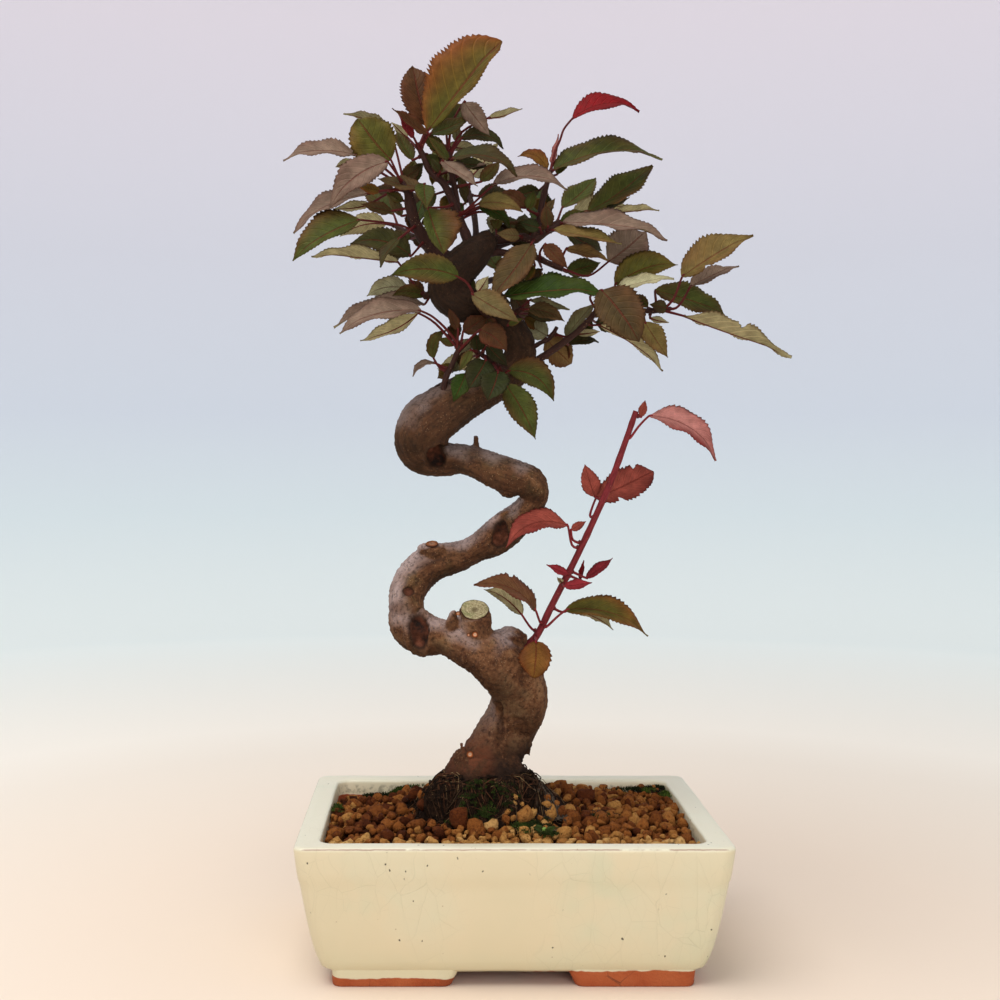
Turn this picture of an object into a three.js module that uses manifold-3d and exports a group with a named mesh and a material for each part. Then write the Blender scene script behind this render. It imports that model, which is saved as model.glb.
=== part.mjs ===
// Apple bonsai in a cream glazed pot, in millimetres, +Z up, with the pot's front towards -Y.
// The pot, the soil, the trunk and every leafy shoot are separate closed solids.
import * as THREE from "three";
import { ConvexGeometry } from "three/addons/geometries/ConvexGeometry.js";
import { mergeVertices } from "three/addons/utils/BufferGeometryUtils.js";
import Module from "manifold-3d";

const wasm = await Module();
wasm.setup();

// Driving dimensions
const GAP = 0.3; // between pieces that touch
const WELD = 1e-3; // points nearer than this are one
const WELD_ROUNDS = 3; // each may part a sliver from its piece
const LAP = 0.3; // of the radius, between successive lengths of wood
const POT = { width: 180, depth: 130, height: 60, foot: 6.3, corner: 5, floor: 14 };
const OPENING = { width: 159, depth: 111, corner: 6, forward: 1 };
const FOOT = { inner: 22.5, outer: 75, front: 53, back: 39, taper: 1.1, slope: 3.4, corner: 4, sunk: 2 };
const DRAIN = { offset: 38, radius: 7, plate: 22, thick: 1.2, bar: 2.2, cells: 2 };
const SOIL = { edge: 55.2, peak: 62, grain: 12.4, rise: 1.7, sink: 1.2, stir: 0.9, seed: 20 };
const MOUND = { x: -8, y: -1, halfWidth: 37, halfDepth: 29, bottom: 40 };
const BLADE = {
  thick: 0.62, leastHalfWidth: 0.25, fold: 0.34, arch: 0.04, notch: 0.85,
  round: 0.8, point: 1.2, widest: 0.26, // how round the base is and how drawn out the point
  seen: 0.9, // share of the fold and arch that the bow read for a leaf holds already
};
const PETIOLE = { radius: 0.6, end: 0.7, firstNode: 0.5, nodeStep: 1.5, nodes: 4 };

// The view that the plant's places are read from: where the eye is, its focal length and its centre.
// A place is a picture column and row, with its depth behind the middle of the pot in millimetres.
const EYE = new THREE.Vector3(-31.5, -621.7, 216.6);
const FOCAL = 1382;
const CENTRE = { column: 437, row: 460 };

function at(column, row, depth) {
  const scale = (depth - EYE.y) / FOCAL;
  const x = (column - CENTRE.column) * scale + EYE.x;
  return new THREE.Vector3(x, depth, EYE.z - (row - CENTRE.row) * scale);
}

function size(pixels, depth) {
  return (pixels * (depth - EYE.y)) / FOCAL;
}

// Main stem from the soil to its top: column, row, depth and radius, the radius in picture units too
const TRUNK = [
  [485, 858, 0, 22], [485, 838, 0, 30], [486, 815, 0, 34], [487, 790, 0, 35], [489, 765, 1, 31],
  [500, 742, 4, 28], [513, 720, 6, 27], [520, 700, 0, 26.5], [515, 680, -5, 27], [498, 662, -10, 27],
  [477, 648, -12, 24], [447, 637, -9, 17.5], [428, 634, -6, 20], [412, 625, -2, 21], [407, 608, 0, 18],
  [408, 590, 4, 19], [418, 573, 6, 19], [433, 562, 8, 18], [457, 557, 10, 16], [475, 549, 8, 14.6],
  [492, 540, 4, 17], [510, 526, 0, 16.5], [525, 512, -3, 14], [535, 497, -5, 13.6], [530, 483, -8, 16],
  [515, 477, -8, 16.5], [498, 471, -6, 17], [478, 463, -3, 15.6], [460, 459, 0, 14.8], [443, 459, 3, 17],
  [424, 452, 4, 20], [421, 441, 0, 22], [430, 424, -4, 23.5], [443, 413, -4, 22.4], [465, 398, -2, 21.5],
  [487, 388, 0, 20], [508, 375, 4, 18], [520, 355, 6, 14.5], [516, 338, 6, 14.5], [500, 320, 4, 15],
  [480, 310, 2, 17], [460, 303, -2, 19], [447, 290, -4, 19], [455, 272, -4, 19], [470, 257, -2, 17],
  [482, 245, 0, 13], [492, 237, 2, 9],
];
const ROOTS = [
  [[474, 764, -4, 20], [457, 784, -8, 16], [438, 804, -12, 11], [420, 820, -16, 7], [404, 836, -18, 3]],
  [[472, 784, 2, 14], [444, 797, 6, 9], [420, 809, 8, 5], [404, 818, 8, 3]],
  [[501, 768, -4, 19], [516, 786, -8, 16], [534, 804, -12, 11], [552, 820, -16, 6], [566, 836, -18, 3]],
  [[502, 784, 2, 14], [528, 797, 6, 9], [552, 811, 8, 4]],
  [[481, 768, -8, 19], [471, 794, -19, 13], [463, 816, -26, 8], [456, 834, -30, 3]],
  [[494, 770, -8, 19], [506, 796, -19, 13], [516, 816, -26, 8], [524, 834, -30, 3]],
  [[481, 786, 8, 14], [467, 791, 20, 9], [457, 802, 29, 4]],
  [[498, 786, 8, 14], [511, 791, 20, 9], [520, 802, 29, 4]],
];
const TWIG_STUBS = [
  [[457, 632, -9, 6], [454, 620, -14, 4.5], [452, 611, -15, 2.5]],
  [[476, 456, -2, 4.5], [476, 436, -3, 2.6]],
  [[440, 400, -4, 6], [436, 387, -4, 1.6]],
];
// A broad cut stub, and knots and hollows of old wounds: place, then radii across, deep and high
const CUT_STUB = { base: [477, 646, -13], top: [474.6, 610.2, -15], radius: 15, lean: 0.61 };
const KNOTS = [
  [508, 634, -7, 7.4, 6, 5], [431, 546, 4, 5, 5, 3.6], [508, 496, -6, 5, 5, 4], [531, 748, 3, 5, 5, 7],
];
const HOLLOWS = [[421, 629, -16, 4, 4.4, 8], [436, 452, -8, 5, 4.5, 5], [501, 533, -9, 4.5, 4, 8]];

// Leafy shoots. Stems: column, row, depth, radius. Leaves: name, column and row of the blade's base
// and of its tip, half width, bow of the midrib, depth of base and of tip, look, petiole's way back.
const SHOOTS = {
  "apex_shoot": {
    "stems": [
      [[470, 246, -1, 6], [462, 225, 0, 4.5], [452, 200, -2, 4], [443, 183, -4, 3.6], [430, 171, -4, 3.4],
       [424, 158, -5, 3], [417, 143, -6, 2.6]],
      [[459, 218, 0, 3.4], [455, 190, 0, 3], [450, 165, -1, 2.6], [448, 152, -1, 2.2]],
    ],
    "leaves": [
      ["A1", 428, 131, 500, 38, 22, 3, -8, -14, "bronze", [[420, 145]]],
      ["A2", 426, 124, 413, 65, 21, 0, -2, 6, "brown", []],
      ["A3", 428, 134, 394, 107, 6, 0, -10, -20, "mauve", []],
      ["A4", 414, 138, 399, 112, 5, 0, -9, -14, "crimson", []],
      ["A5", 446, 128, 466, 101, 12, 0, 3, 11, "olive", []],
      ["A6", 430, 134, 471, 116, 9, 0, -4, -2, "olive", []],
      ["A7", 449, 159, 429, 136, 6, 0, -2, -10, "olive", []],
      ["A8", 440, 172, 431, 158, 5, 0, -8, -10, "mauve", []],
      ["A9", 464, 102, 490, 135, 12, 0, 0, -6, "mauve", [[452, 124]]],
      ["A10", 488, 118, 521, 107, 4, 0, 5, 12, "pale", [[462, 132]]],
      ["A11", 457, 142, 457, 124, 6, 0, 3, 3, "green", []],
      ["A12", 408, 138, 392, 122, 5, 0, 8, 8, "pale", []],
      ["A13", 413, 160, 397, 130, 8, 0, -4, 2, "olive", []],
      ["D1", 461, 139, 505, 148, 8, 10, 0, 4, "dark", []],
      ["D2", 445, 146, 481, 150, 6, 2, 6, 12, "pale", []],
      ["D3", 452, 159, 519, 174, 9, 14, -10, -18, "brown", []],
      ["D4", 442, 161, 478, 184, 8, 2, -10, -22, "mauve", []],
      ["D5", 480, 182, 500, 161, 8, 0, 0, 4, "olive", []],
      ["D6", 461, 176, 467, 205, 6, 0, 2, 2, "dark", []],
      ["D7", 457, 169, 488, 162, 3, 0, 4, 4, "mauve", []],
      ["F1", 478, 204, 523, 211, 10, 6, -8, -14, "olive", [[463, 212]]],
      ["F2", 478, 207, 511, 225, 8, 5, -2, 2, "green", [[463, 214]]],
      ["F3", 497, 214, 491, 233, 10, 0, 10, 12, "pale", [[478, 212]]],
      ["F4", 436, 211, 444, 253, 21, 0, -16, -24, "olive", [[452, 208]]],
      ["F5", 492, 186, 569, 188, 9, 15, -5, -10, "mauve", [[463, 213]]],
      ["F6", 526, 208, 499, 192, 8, 4, 4, 6, "bronze", [[490, 206], [465, 214]]],
    ],
  },
  "left_branch": {
    "stems": [
      [[447, 264, -3, 10], [436, 251, -3, 9], [425, 240, -4, 7], [415, 222, -6, 5.5], [411, 208, -8, 6],
       [408, 192, -8, 4.5], [402, 182, -9, 3]],
    ],
    "leaves": [
      ["B1", 390, 159, 360, 119, 23, 0, -10, -12, "olive", [[401, 182]]],
      ["B2", 388, 124, 344, 112, 5, 2, 4, 4, "pale", [[396, 150], [402, 175]]],
      ["B3", 358, 156, 282, 157, 9, 10, -2, -6, "mauve", [[384, 168]]],
      ["B4", 352, 160, 335, 167, 5, 0, 4, 4, "pale", [[380, 172]]],
      ["B5", 388, 162, 329, 206, 17, 10, -16, -26, "mauve", [[398, 176]]],
      ["B6", 422, 187, 378, 177, 8, 0, -10, -8, "brown", []],
      ["B7", 380, 191, 357, 185, 6, 0, -10, -14, "bronze", []],
      ["B8", 368, 194, 291, 231, 9, 12, 0, 2, "mauve", [[390, 190]]],
      ["B9", 370, 204, 333, 208, 6, 0, 6, 6, "pale", []],
      ["B10", 392, 211, 361, 203, 7, 0, -8, -12, "brown", []],
      ["B11", 402, 216, 389, 193, 6, 0, -4, -4, "olive", []],
      ["B12", 400, 181, 421, 166, 9, 0, 2, 2, "brown", []],
      ["B13", 424, 184, 427, 208, 12, 0, -16, -26, "olive", []],
      ["C1", 361, 220, 291, 259, 14, 8, -6, -10, "olive", [[400, 225], [415, 233]]],
      ["C2", 411, 256, 350, 243, 15, 10, -14, -22, "dark", [[420, 246]]],
      ["C4", 400, 238, 379, 266, 6, 4, -24, -34, "dark", []],
    ],
  },
  "left_low_spray": {
    "stems": [[[448, 291, -4, 4], [432, 293, -3, 3.5], [424, 297, -1, 3]]],
    "leaves": [
      ["C3", 398, 262, 312, 252, 7, 6, 4, 8, "pale", [[410, 279]]],
      ["I2", 408, 289, 369, 297, 11, 6, 10, 12, "pale", []],
      ["I3", 424, 297, 392, 296, 8, 6, 0, -4, "green", []],
      ["I4", 425, 304, 332, 324, 9, 12, 0, -3, "brown", []],
      ["I5", 424, 292, 408, 280, 7, 0, 10, 10, "pale", []],
    ],
  },
  "right_branch": {
    "stems": [
      [[486, 243, 2, 6], [497, 240, 3, 5], [512, 239, 2, 4.2], [522, 237, 0, 4], [534, 240, -2, 4],
       [548, 231, -2, 3.2], [561, 224, -1, 2.8]],
      [[534, 240, -2, 3.5], [539, 220, 1, 3.2], [543, 198, 2, 3], [551, 170, 3, 2.4]],
    ],
    "leaves": [
      ["E1", 554, 170, 664, 155, 10, 18, 2, 8, "olive", []],
      ["E2", 572, 119, 641, 109, 9, 14, 4, 8, "crimson", [[564, 129], [560, 140], [555, 152]]],
      ["E3", 552, 167, 557, 134, 3.5, 0, 7, 8, "pale", []],
      ["E4", 547, 170, 517, 156, 7, 9, 5, 6, "orange", []],
      ["E6", 528, 210, 534, 190, 7, 0, -4, -4, "olive", []],
      ["E7", 545, 212, 555, 198, 4, 0, 0, 0, "brown", []],
      ["G1", 532, 243, 487, 300, 16, 0, -12, -20, "brown", []],
      ["G2", 553, 230, 622, 241, 7, 3, -12, -17, "olive", []],
      ["G3", 563, 223, 669, 235, 10, 10, -4, -8, "mauve", []],
      ["G4", 588, 212, 652, 163, 15, 0, 8, 14, "olive", [[562, 223]]],
      ["G5", 592, 212, 629, 196, 6, 0, 11, 12, "olive", [[572, 220]]],
      ["G6", 612, 213, 659, 208, 4, 3, 14, 14, "pale", [[580, 222]]],
      ["G7", 560, 223, 585, 210, 8, 0, 3, 7, "olive", []],
      ["G8", 520, 236, 497, 233, 8, 0, -4, -8, "dark", []],
      ["G9", 540, 228, 520, 222, 8, 0, -8, -8, "dark", []],
      ["G10", 548, 227, 546, 204, 8, 0, -10, -12, "brown", []],
    ],
  },
  "right_low_branch": {
    "stems": [
      [[484, 254, -1, 5], [497, 252, 2, 4], [515, 255, 0, 3.4], [535, 257, -2, 3.2], [548, 263, -4, 3],
       [563, 269, -5, 3]],
    ],
    "leaves": [
      ["H1", 545, 244, 568, 268, 9, 0, -14, -20, "mauve", [[540, 252]]],
      ["H2", 572, 255, 607, 254, 6, 3, -2, -2, "brown", []],
      ["H3", 573, 268, 598, 264, 8, 0, 9, 12, "olive", []],
      ["H4", 608, 257, 645, 230, 20, 0, 8, 16, "mauve", [[587, 274], [566, 270]]],
    ],
  },
  "front_spray": {
    "stems": [[[490, 319, 2, 4], [486, 314, -8, 3.5], [480, 307, -14, 3.4], [474, 297, -17, 2.8]]],
    "leaves": [
      ["H5", 502, 297, 603, 289, 13, 8, -16, -24, "green", [[490, 304]]],
      ["I1", 458, 277, 390, 275, 17, 8, -21, -28, "olive", [[468, 284]]],
      ["Q1", 472, 294, 502, 324, 12, 0, -22, -30, "brown", []],
      ["Q2", 478, 292, 488, 276, 8, 0, -14, -12, "pale", []],
    ],
  },
  "right_mid_spray": {
    "stems": [[[501, 322, 4, 5], [513, 314, 0, 3.4], [521, 309, -4, 2.8]]],
    "leaves": [
      ["P1", 528, 309, 565, 321, 9, 4, -6, -10, "brown", []],
      ["H6", 530, 300, 570, 308, 6, 0, -1, 2, "olive", []],
      ["Q5", 508, 325, 523, 318, 4, 0, -8, -10, "olive", []],
    ],
  },
  "right_thin_shoot": {
    "stems": [[[520, 350, 6, 4], [533, 347, 4, 2.6], [540, 343, 3, 2.3], [550, 338, 2, 2.2], [557, 327, 2, 2]]],
    "leaves": [
      ["P2", 546, 333, 528, 325, 10, 0, 16, 18, "pale", []],
      ["P3", 548, 340, 570, 364, 14, 0, 10, 14, "olive", []],
      ["P4", 566, 337, 597, 300, 8, 3, 6, 10, "green", []],
    ],
  },
  "left_mid_shoot": {
    "stems": [
      [[452, 402, -6, 5], [444, 389, -9, 3.4], [447, 375, -9, 3], [452, 365, -9, 2.8], [457, 353, -10, 2.8],
       [461, 346, -11, 3.4]],
    ],
    "leaves": [
      ["J1", 421, 311, 338, 331, 12, 12, -15, -20, "brown", [[433, 317], [447, 330]]],
      ["J2", 418, 313, 360, 338, 9, -2, -6, -4, "pale", [[436, 324]]],
      ["J4", 434, 359, 448, 329, 7, 8, -7, -6, "olive", [[440, 368]]],
      ["J5", 435, 363, 412, 376, 4, 6, -8, -12, "olive", []],
      ["J6", 455, 345, 438, 338, 5, 0, -9, -9, "green", []],
      ["J7", 452, 372, 462, 358, 7, 0, 3, 8, "pale", []],
      ["J8", 478, 333, 500, 352, 14, 8, -20, -26, "brown", [[468, 342]]],
      ["J9", 458, 330, 449, 308, 6, 0, -14, -16, "tan", []],
      ["J10", 467, 330, 478, 318, 7, 0, -9, -8, "brown", []],
    ],
  },
  "front_mid_spray": {
    "stems": [[[514, 372, 4, 5], [502, 368, -5, 3.6], [493, 363, -9, 3], [485, 357, -10, 2.6], [477, 352, -10, 2.2]]],
    "leaves": [
      ["K1", 466, 375, 455, 400, 9, 0, -16, -21, "green", [[474, 362]]],
      ["K2", 487, 363, 468, 384, 12, 0, -17, -25, "dark", []],
      ["K3", 498, 373, 488, 399, 15, 0, -23, -32, "dark", []],
      ["K4", 508, 371, 554, 401, 12, 10, -14, -20, "olive", [[503, 373]]],
      ["K5", 506, 385, 536, 439, 17, 3, -19, -26, "olive", [[500, 374]]],
      ["K6", 487, 345, 508, 366, 9, 0, -13, -15, "dark", []],
      ["K7", 478, 350, 476, 334, 6, 0, -6, -6, "dark", []],
      ["K8", 471, 350, 459, 371, 6, 0, -14, -17, "olive", []],
    ],
  },
  "right_long_branch": {
    "stems": [
      [[519, 366, 3, 6], [535, 361, -2, 4], [550, 352, -4, 3.6], [564, 342, -5, 3.4], [577, 332, -6, 3.2],
       [590, 319, -7, 3], [599, 311, -8, 3], [625, 309, -6, 2.8], [650, 311, -4, 2.6], [668, 309, -3, 2.8]],
    ],
    "leaves": [
      ["M1", 603, 292, 637, 340, 24, 4, -22, -34, "mauve", [[590, 297], [596, 309]]],
      ["M2", 600, 325, 665, 369, 8, 8, -6, -10, "pale", [[590, 325]]],
      ["M3", 578, 334, 600, 331, 5, 0, 6, 6, "pale", []],
      ["M4", 645, 322, 668, 357, 13, 0, -12, -20, "olive", []],
      ["M5", 650, 318, 669, 322, 4, 0, -2, -2, "pale", []],
      ["M6", 616, 289, 674, 276, 7, 4, -13, -12, "green", []],
      ["N1", 684, 316, 793, 353, 9, 6, -6, -12, "pale", []],
      ["N2", 655, 291, 731, 316, 14, 6, 9, 14, "green", []],
      ["N3", 690, 287, 739, 264, 8, 4, 3, 8, "mauve", [[683, 300], [676, 308]]],
      ["N4", 684, 277, 753, 233, 13, 5, -4, -8, "olive", [[674, 298]]],
      ["N5", 615, 285, 679, 264, 14, 8, -2, 0, "olive", [[618, 306]]],
      ["N6", 667, 308, 650, 304, 8, 0, -6, -8, "dark", []],
    ],
  },
  "red_shoot": {
    "stems": [
      [[513, 656, -8, 6], [535, 638, -5, 3.8], [553, 603, -5, 3.4], [575, 560, -6, 3.3], [593, 522, -8, 3.2],
       [611, 481, -9, 3.2], [626, 440, -11, 3], [636, 411, -12, 2.8]],
    ],
    "leaves": [
      ["R1", 649, 416, 718, 460, 13, 16, -12, -18, "coral", [[639, 426], [630, 438]]],
      ["R1b", 641, 417, 645, 400, 5, 0, -12, -12, "coral", []],
      ["R2", 597, 497, 654, 470, 17, 0, 2, 6, "coral", [[590, 515]]],
      ["R3", 568, 526, 505, 546, 13, 16, -10, -20, "coral", [[572, 545]]],
      ["R3b", 571, 530, 586, 521, 5, 0, -10, -11, "coral", [[573, 540]]],
      ["R4a", 587, 578, 611, 557, 5, 0, -2, 0, "crimson", []],
      ["R4b", 580, 580, 583, 560, 3, 0, 0, 2, "crimson", []],
      ["R4c", 567, 573, 547, 565, 4, 0, -8, -10, "crimson", []],
      ["R4d", 568, 590, 591, 583, 5, 0, -2, 0, "crimson", []],
      ["R4e", 565, 585, 557, 577, 3, 0, -6, -8, "pale", []],
      ["R5", 566, 610, 650, 634, 12, 14, -8, -14, "bronze", [[557, 617], [546, 627]]],
      ["R6", 572, 609, 614, 628, 7, 5, 0, 4, "green", [[562, 612]]],
      ["R7", 536, 611, 474, 583, 10, 14, -12, -20, "bronze", [[540, 622]]],
      ["R8", 522, 613, 486, 584, 8, 6, 0, 2, "pale", [[531, 628]]],
      ["R9", 536, 643, 533, 677, 15, 0, -22, -26, "orange", []],
    ],
  },
  "back_left_spray": {
    "stems": [[[452, 276, 0, 5], [443, 264, 11, 3.6], [424, 246, 18, 3.2], [408, 234, 25, 3], [396, 226, 32, 2.6]]],
    "leaves": [
      ["S1", 386, 224, 340, 236, 12, 6, 34, 42, "pale", []],
      ["S2", 394, 215, 366, 186, 12, 0, 36, 50, "olive", []],
      ["S3", 404, 238, 384, 262, 11, 0, 32, 50, "dark", []],
      ["S4", 412, 226, 424, 192, 11, 0, 28, 44, "green", []],
    ],
  },
  "back_top_spray": {
    "stems": [[[474, 250, -1, 5], [476, 236, 9, 3.4], [474, 214, 20, 3], [468, 190, 29, 2.6]]],
    "leaves": [
      ["T1", 472, 176, 498, 142, 12, 0, 33, 42, "pale", []],
      ["T2", 462, 176, 432, 148, 11, 0, 33, 46, "olive", []],
      ["T3", 478, 196, 512, 200, 11, 4, 30, 46, "dark", []],
      ["T4", 464, 204, 440, 226, 12, 0, 28, 44, "green", []],
    ],
  },
  "back_right_spray": {
    "stems": [[[478, 255, 0, 5], [492, 249, 12, 3.4], [516, 239, 20, 3.2], [538, 230, 28, 3], [560, 222, 34, 2.6]]],
    "leaves": [
      ["U1", 572, 216, 628, 206, 13, 6, 37, 44, "pale", []],
      ["U2", 562, 208, 596, 176, 12, 0, 42, 56, "olive", []],
      ["U3", 566, 232, 604, 250, 12, 0, 36, 52, "dark", []],
      ["U4", 538, 224, 540, 186, 11, 0, 30, 44, "green", []],
    ],
  },
  "back_mid_spray": {
    "stems": [[[466, 300, 0, 5], [476, 288, 12, 3.4], [492, 280, 24, 3], [508, 280, 34, 2.6]]],
    "leaves": [
      ["V1", 520, 282, 566, 294, 12, 4, 38, 48, "pale", []],
      ["V2", 500, 270, 478, 240, 12, 0, 34, 50, "olive", []],
      ["V3", 492, 292, 470, 322, 12, 0, 30, 46, "dark", []],
      ["V4", 512, 292, 530, 322, 11, 0, 36, 50, "brown", []],
    ],
  },
  "back_low_spray": {
    "stems": [[[505, 378, 6, 5], [500, 372, 18, 3.4], [492, 364, 28, 3]]],
    "leaves": [
      ["W1", 482, 362, 438, 368, 12, 4, 30, 42, "pale", []],
      ["W2", 496, 352, 512, 318, 11, 0, 32, 44, "olive", []],
      ["W3", 500, 376, 522, 404, 12, 0, 32, 48, "dark", []],
    ],
  },
  "sprout": {
    "stems": [[[546, 858, -37, 2.4], [545, 838, -37, 2.2], [544, 828, -38, 2]]],
    "leaves": [
      ["Z1", 545, 834, 556, 827, 4, 1, -38, -40, "green", []],
      ["Z2", 543, 831, 533, 827, 4, 1, -38, -37, "green", []],
    ],
  },
};

// Seeded random numbers from 0 to 1
function randomSource(seed) {
  let state = seed;
  return () => {
    state = (state * 16807) % 2147483647;
    return state / 2147483647;
  };
}

// Solids from closed geometry, and back
function solid(geometry) {
  const bare = new THREE.BufferGeometry();
  bare.setAttribute("position", geometry.getAttribute("position").clone());
  if (geometry.index) {
    bare.setIndex(geometry.index.clone());
  }
  const merged = mergeVertices(bare, WELD);
  const vertProperties = new Float32Array(merged.getAttribute("position").array);
  const corners = merged.index.array;
  const kept = [];
  for (let face = 0; face < corners.length; face += 3) {
    const [a, b, c] = corners.slice(face, face + 3);
    if (a !== b && b !== c && c !== a) {
      kept.push(a, b, c);
    }
  }
  const triVerts = new Uint32Array(kept);
  return new wasm.Manifold(new wasm.Mesh({ numProp: 3, vertProperties, triVerts }));
}

function union(solids) {
  return wasm.Manifold.union(solids);
}

function largestBody(whole) {
  const bodies = whole.decompose();
  return bodies.reduce((best, body) => (body.volume() > best.volume() ? body : best));
}

function geometryOf(body) {
  const { vertProperties, triVerts } = body.getMesh();
  const geometry = new THREE.BufferGeometry();
  geometry.setAttribute("position", new THREE.BufferAttribute(new Float32Array(vertProperties), 3));
  geometry.setIndex(new THREE.BufferAttribute(new Uint32Array(triVerts), 1));
  geometry.computeVertexNormals();
  return geometry;
}

// A closed skin over rings of equally many points, each end closed by a fan round its middle
function loft(rings) {
  const sides = rings[0].length;
  const points = rings.flat();
  const faces = [];
  for (let ring = 0; ring + 1 < rings.length; ring += 1) {
    for (let side = 0; side < sides; side += 1) {
      const next = (side + 1) % sides;
      const [a, b] = [ring * sides + side, ring * sides + next];
      faces.push(a, b, b + sides, a, b + sides, a + sides);
    }
  }
  for (const [ring, flip] of [[0, true], [rings.length - 1, false]]) {
    const middle = points.length;
    const centre = new THREE.Vector3();
    rings[ring].forEach((point) => centre.addScaledVector(point, 1 / sides));
    points.push(centre);
    for (let side = 0; side < sides; side += 1) {
      const a = ring * sides + side;
      const b = ring * sides + ((side + 1) % sides);
      faces.push(...(flip ? [middle, b, a] : [middle, a, b]));
    }
  }
  const geometry = new THREE.BufferGeometry().setFromPoints(points);
  geometry.setIndex(faces);
  return solid(geometry);
}

// A rectangle with round corners, seen from above, as points at one height
function roundedRing(halfWidth, halfDepth, radius, height, middle = { x: 0, y: 0 }, steps = 3) {
  const ring = [];
  for (const [turn, sx, sy] of [[0, 1, 1], [1, -1, 1], [2, -1, -1], [3, 1, -1]]) {
    for (let step = 0; step <= steps; step += 1) {
      const angle = ((turn + step / steps) * Math.PI) / 2;
      const x = middle.x + sx * (halfWidth - radius) + radius * Math.cos(angle);
      const y = middle.y + sy * (halfDepth - radius) + radius * Math.sin(angle);
      ring.push(new THREE.Vector3(x, y, height));
    }
  }
  return ring;
}

// Pot: walls that draw in towards the floor, a broad flat rim, four low feet and two drainage holes
const POT_SIDE = [[14, 6.3], [10, 9], [6.3, 21], [4, 31.5], [1.8, 48], [0, 59], [0.7, 60]];
const POT_INSIDE = [[6.5, 14], [3.6, 20], [1.2, 36], [0, 59.3]];

// The room inside the pot, or its filling when it is inset, up to one last ring above
function cavity(inset, [narrower, top]) {
  const rings = [...POT_INSIDE, [narrower, top]].map(([draw, height], index) => {
    const halfWidth = OPENING.width / 2 - draw - inset;
    const halfDepth = OPENING.depth / 2 - draw - inset;
    const lift = index === 0 ? inset : 0;
    return roundedRing(halfWidth, halfDepth, OPENING.corner, height + lift, { x: 0, y: -OPENING.forward });
  });
  return loft(rings);
}

function footRings(sideX, sideY) {
  const halfLength = (FOOT.outer - FOOT.inner) / 2;
  const halfDepth = (FOOT.front - FOOT.back) / 2;
  const middle = { x: (sideX * (FOOT.outer + FOOT.inner)) / 2, y: (sideY * (FOOT.front + FOOT.back)) / 2 };
  const drawn = (FOOT.taper + FOOT.slope) / 2; // each end's share of the ring's shortening
  const under = { x: middle.x + sideX * (drawn - FOOT.taper), y: middle.y };
  return [
    roundedRing(halfLength - drawn, halfDepth - FOOT.taper, FOOT.corner, 0, under, 2),
    roundedRing(halfLength, halfDepth, FOOT.corner, POT.foot + FOOT.sunk, middle, 2),
  ];
}

function drainHole(side) {
  const hole = new THREE.CylinderGeometry(DRAIN.radius, DRAIN.radius, POT.floor * 2, 14);
  hole.rotateX(Math.PI / 2);
  hole.translate(side * DRAIN.offset, 0, POT.floor);
  return solid(hole);
}

function potSolid() {
  const outer = POT_SIDE.map(([inset, height]) =>
    roundedRing(POT.width / 2 - inset, POT.depth / 2 - inset, POT.corner, height));
  const feet = [[1, 1], [-1, 1], [-1, -1], [1, -1]].map(([sx, sy]) => loft(footRings(sx, sy)));
  const body = union([loft(outer), ...feet]);
  return body.subtract(cavity(0, [-0.6, POT.height + 0.1])).subtract(drainHole(-1)).subtract(drainHole(1));
}

// Square of plastic netting over a drainage hole, and the room that the soil leaves for it
function drainMesh(side) {
  const bars = [];
  for (let line = 0; line <= DRAIN.cells; line += 1) {
    const offset = (line / DRAIN.cells - 0.5) * (DRAIN.plate - DRAIN.bar);
    bars.push(new THREE.BoxGeometry(DRAIN.plate, DRAIN.bar, DRAIN.thick).translate(0, offset, 0));
    bars.push(new THREE.BoxGeometry(DRAIN.bar, DRAIN.plate, DRAIN.thick).translate(offset, 0, 0));
  }
  const netting = bars.map((bar) => solid(bar.translate(side * DRAIN.offset, 0, POT.floor + GAP + DRAIN.thick / 2)));
  return union(netting);
}

function drainRoom(side) {
  const room = new THREE.BoxGeometry(DRAIN.plate + 2 * GAP, DRAIN.plate + 2 * GAP, DRAIN.thick + 2 * GAP);
  return solid(room.translate(side * DRAIN.offset, 0, POT.floor + GAP + DRAIN.thick / 2));
}

// Soil: fills the pot under a low crown, its top set with clods of fired clay
function soilHeight(x, y) {
  const across = (x - MOUND.x) / (POT.width / 2);
  const along = (y - MOUND.y) / (POT.depth / 2);
  const nearness = Math.max(0, 1 - Math.hypot(across, along));
  return SOIL.edge + (SOIL.peak - SOIL.edge) * nearness;
}

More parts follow.
